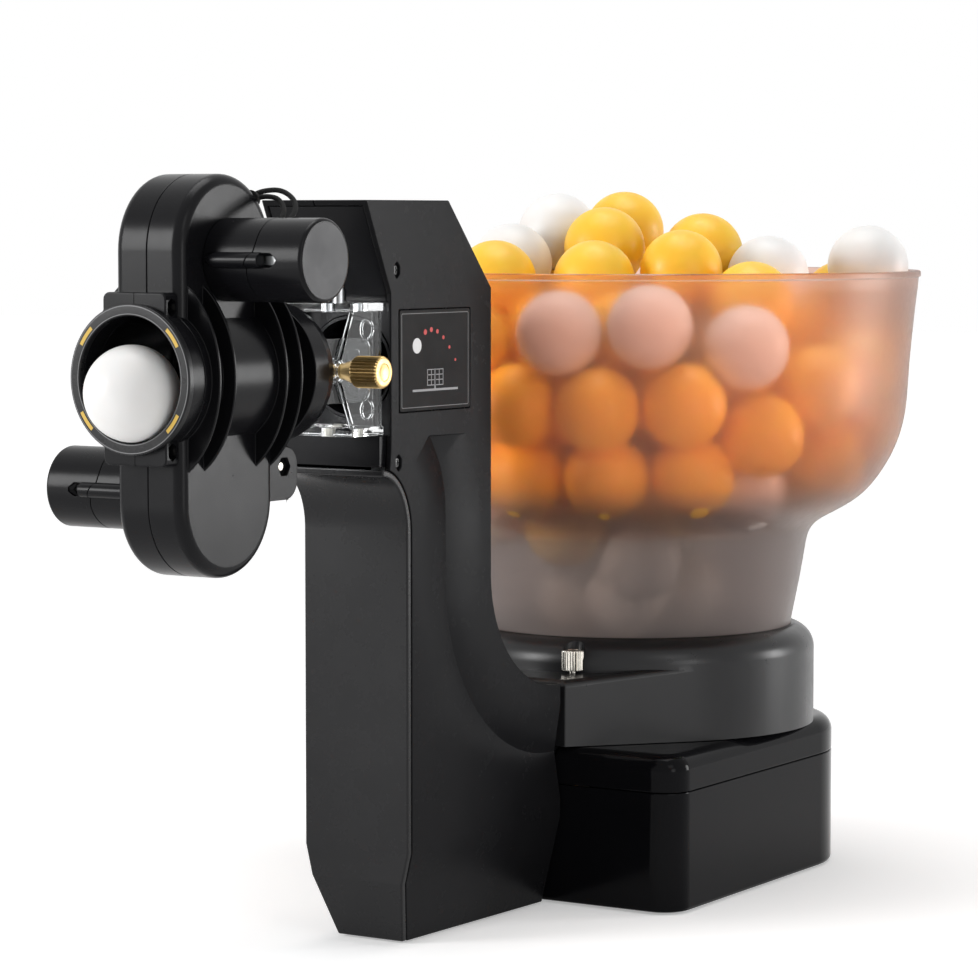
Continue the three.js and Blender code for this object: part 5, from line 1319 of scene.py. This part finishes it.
def keep_in(points):
    """Pushes each ball off the bowl's wall, the floor at the rotor's top and the rotor's cone."""
    floor = ROTOR_TOP + BALL
    inner = np.array(HOPPER_LINE, float) - (LOAD_INSET, 0)
    reach = np.hypot(points[:, 0], points[:, 1])
    flat = np.stack([reach, points[:, 2]], axis=1)
    starts = np.vstack([[[72.0, ROTOR_TOP]], inner])
    ends = np.vstack([inner, [[139.0, 420.0]]])
    shift = np.zeros_like(flat)
    for a, b in zip(starts, ends):
        along = b - a
        t = np.clip(((flat - a) @ along) / (along @ along), 0, 1)
        away = flat - (a + t[:, None] * along)
        normal = np.array([-along[1], along[0]]) / np.linalg.norm(along)
        side = away @ normal
        length = np.linalg.norm(away, axis=1)
        beyond = np.where(length < 3 * BALL, BALL + 0.1 + length, 0)
        inside = np.where(side > 0, np.clip(BALL + 0.1 - length, 0, None), beyond)
        direction = np.where((side > 0)[:, None], away / np.maximum(length, TINY)[:, None], normal[None, :])
        mask = inside > np.linalg.norm(shift, axis=1)
        shift = np.where(mask[:, None], direction * inside[:, None], shift)
    flat = flat + shift
    flat[:, 1] = np.maximum(flat[:, 1], floor)
    cone = np.clip(46.5 - flat[:, 0], 0, None)
    flat[:, 1] = np.where(cone > 0, np.maximum(flat[:, 1], floor + np.minimum(cone * 1.1, 22)), flat[:, 1])
    scale = flat[:, 0] / np.maximum(reach, TINY)
    points[:, 0] *= scale
    points[:, 1] *= scale
    points[:, 2] = flat[:, 1]


def balls(centres):
    """One mesh of many balls."""
    one = ball(24, 40)
    made = together(*[transform(copy(one), Matrix.Translation(Vector(at))) for at in centres])
    bpy.data.objects.remove(one)
    return made


# Above FREE_TOP only the shown balls lie on the load. In the neck, those past its reach are left off.
FREE_TOP = 281.0
NECK_TOP = 172.0
NECK_REACH = 52.0
NECK_WHITE_SHARE = 0.7
WHITE_SHARE = 0.08


def make_load():
    orange = [p for p, colour in SHOWN if colour == "orange"]
    white = [p for p, colour in SHOWN if colour == "white"]
    rng = np.random.default_rng(11)
    for p in fill_bowl():
        in_neck = p[2] < NECK_TOP
        if p[2] > FREE_TOP or in_neck and hypot(p[0], p[1]) > NECK_REACH:
            continue
        share = NECK_WHITE_SHARE if in_neck else WHITE_SHARE
        (white if rng.random() < share else orange).append(p)
    place(balls(orange), "load_orange", "base", ORANGE_BALL, (), (0, FEEDER, 0), 80)
    place(balls(white), "load_white", "base", WHITE_BALL, (), (0, FEEDER, 0), 80)


# Inner pieces that keep the shape of the frame's nodes, with a fine edge
INNER_LOOKS = {
    **dict.fromkeys(("swing_motor", "upper_motor", "lower_motor", "feed_motor"), STEEL),
    **dict.fromkeys(("swing_pinion", "swing_gear", "upper_wheel_hub", "lower_wheel_hub"), NYLON),
    "feed_rotor": NYLON,
    "feed_chamber": SATIN,
    "control_board": BOARD,
}


def dress_rest():
    for name, material in INNER_LOOKS.items():
        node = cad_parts[name]
        node.data.materials.clear()
        node.data.materials.append(material)
        bevelled(node, 0.3 * MM, 2, 40)


# Floor, light and camera, in metres

FLOOR_REACH = 8
ROOM_LIGHT = 0.26
# The floor's own light near the machine and far off, and the distances of the two
FLOOR_GLOW = (0.35, 0.80)
GLOW_REACH = (0.7, 3.0)
# Each lamp's name, place, target, size and power
LAMPS = [
    ("key", (-1.25, -1.75, 0.75), (0, -0.05, 0.20), (0.7, 0.9), 28),
    ("scoop", (1.36, 1.31, 0.33), (0, -0.05, 0.16), (0.42, 0.62), 11),
    ("side", (1.9, -0.73, 0.32), (0.05, 0.10, 0.10), (0.5, 0.6), 4),
    ("top", (0.0, 0.2, 2.0), (0, 0.05, 0.2), (1.3, 1.1), 19),
    ("bowl", (1.7, -0.9, 1.3), (0, 0.13, 0.24), (0.7, 0.7), 3),
]
CAMERA_AT = (0.9431, -1.4453, 0.325)
CAMERA_TURN = radians(33)
CAMERA_PITCH = radians(4.2)
SENSOR = 36
# The focal length and the picture's width, both in pixels
FOCAL_PIXELS = 3700
PICTURE_PIXELS = 978


def backdrop_rays(tree):
    """1 for the rays that show the backdrop: from the camera, off a gloss and through glass."""
    path = added(tree, "LightPath")
    found = path.outputs["Is Camera Ray"]
    for word in ("Is Glossy Ray", "Is Transmission Ray"):
        found = added(tree, "Math", {0: found, 1: path.outputs[word]}, operation="MAXIMUM").outputs[0]
    return found


def make_floor():
    mesh = bpy.data.meshes.new("floor")
    corners = [(-FLOOR_REACH, -FLOOR_REACH, 0), (FLOOR_REACH, -FLOOR_REACH, 0)]
    corners += [(FLOOR_REACH, FLOOR_REACH, 0), (-FLOOR_REACH, FLOOR_REACH, 0)]
    mesh.from_pydata(corners, [], [(0, 1, 2, 3)])
    material, tree, shader = nodes_of("floor_pale")
    where = added(tree, "TexCoord").outputs["Object"]
    away = added(tree, "VectorMath", {0: where}, operation="LENGTH").outputs["Value"]
    glow = span(tree, away, *FLOOR_GLOW, *GLOW_REACH)
    seen = added(tree, "Math", {0: glow, 1: backdrop_rays(tree)}, operation="MULTIPLY").outputs[0]
    drift = span(tree, noise(tree, 2, 3), 0, 1)
    feed(tree, shader, {
        "Base Color": mixed(tree, drift, (0.88, 0.88, 0.88), (0.90, 0.90, 0.90)),
        "Roughness": 0.9,
        "Specular IOR Level": 0.1,
        "Emission Color": (1, 1, 1, 1),
        "Emission Strength": seen,
    })
    mesh.materials.append(material)
    linked(mesh)


def aim(obj, where, way):
    """Puts a lamp or the camera at a place, looking along a way."""
    obj.location = where
    obj.rotation_euler = way.to_track_quat("-Z", "Y").to_euler()


def make_light():
    world = bpy.data.worlds.new("room")
    bpy.context.scene.world = world
    world.use_nodes = True
    tree = world.node_tree
    strength = span(tree, backdrop_rays(tree), ROOM_LIGHT, 1.0, 0, 1)
    feed(tree, tree.nodes["Background"], {"Strength": strength, "Color": (1, 1, 1, 1)})
    for name, where, target, size, power in LAMPS:
        data = bpy.data.lights.new(name, "AREA")
        data.shape = "RECTANGLE"
        data.size, data.size_y = size
        data.energy = power
        aim(linked(data), where, Vector(target) - Vector(where))


def make_camera():
    data = bpy.data.cameras.new("camera")
    data.sensor_width = SENSOR
    data.lens = FOCAL_PIXELS / PICTURE_PIXELS * SENSOR
    data.clip_start, data.clip_end = 0.05, 50
    camera = linked(data)
    level = cos(CAMERA_PITCH)
    way = Vector((-sin(CAMERA_TURN) * level, cos(CAMERA_TURN) * level, -sin(CAMERA_PITCH)))
    aim(camera, CAMERA_AT, way)
    bpy.context.scene.camera = camera


make_camera()
make_tower()
make_swing()
make_tilt()
make_knob()
make_head()
make_base()
make_hopper()
make_load()
dress_rest()
make_floor()
make_light()
bpy.context.scene.view_settings.view_transform = "Standard"
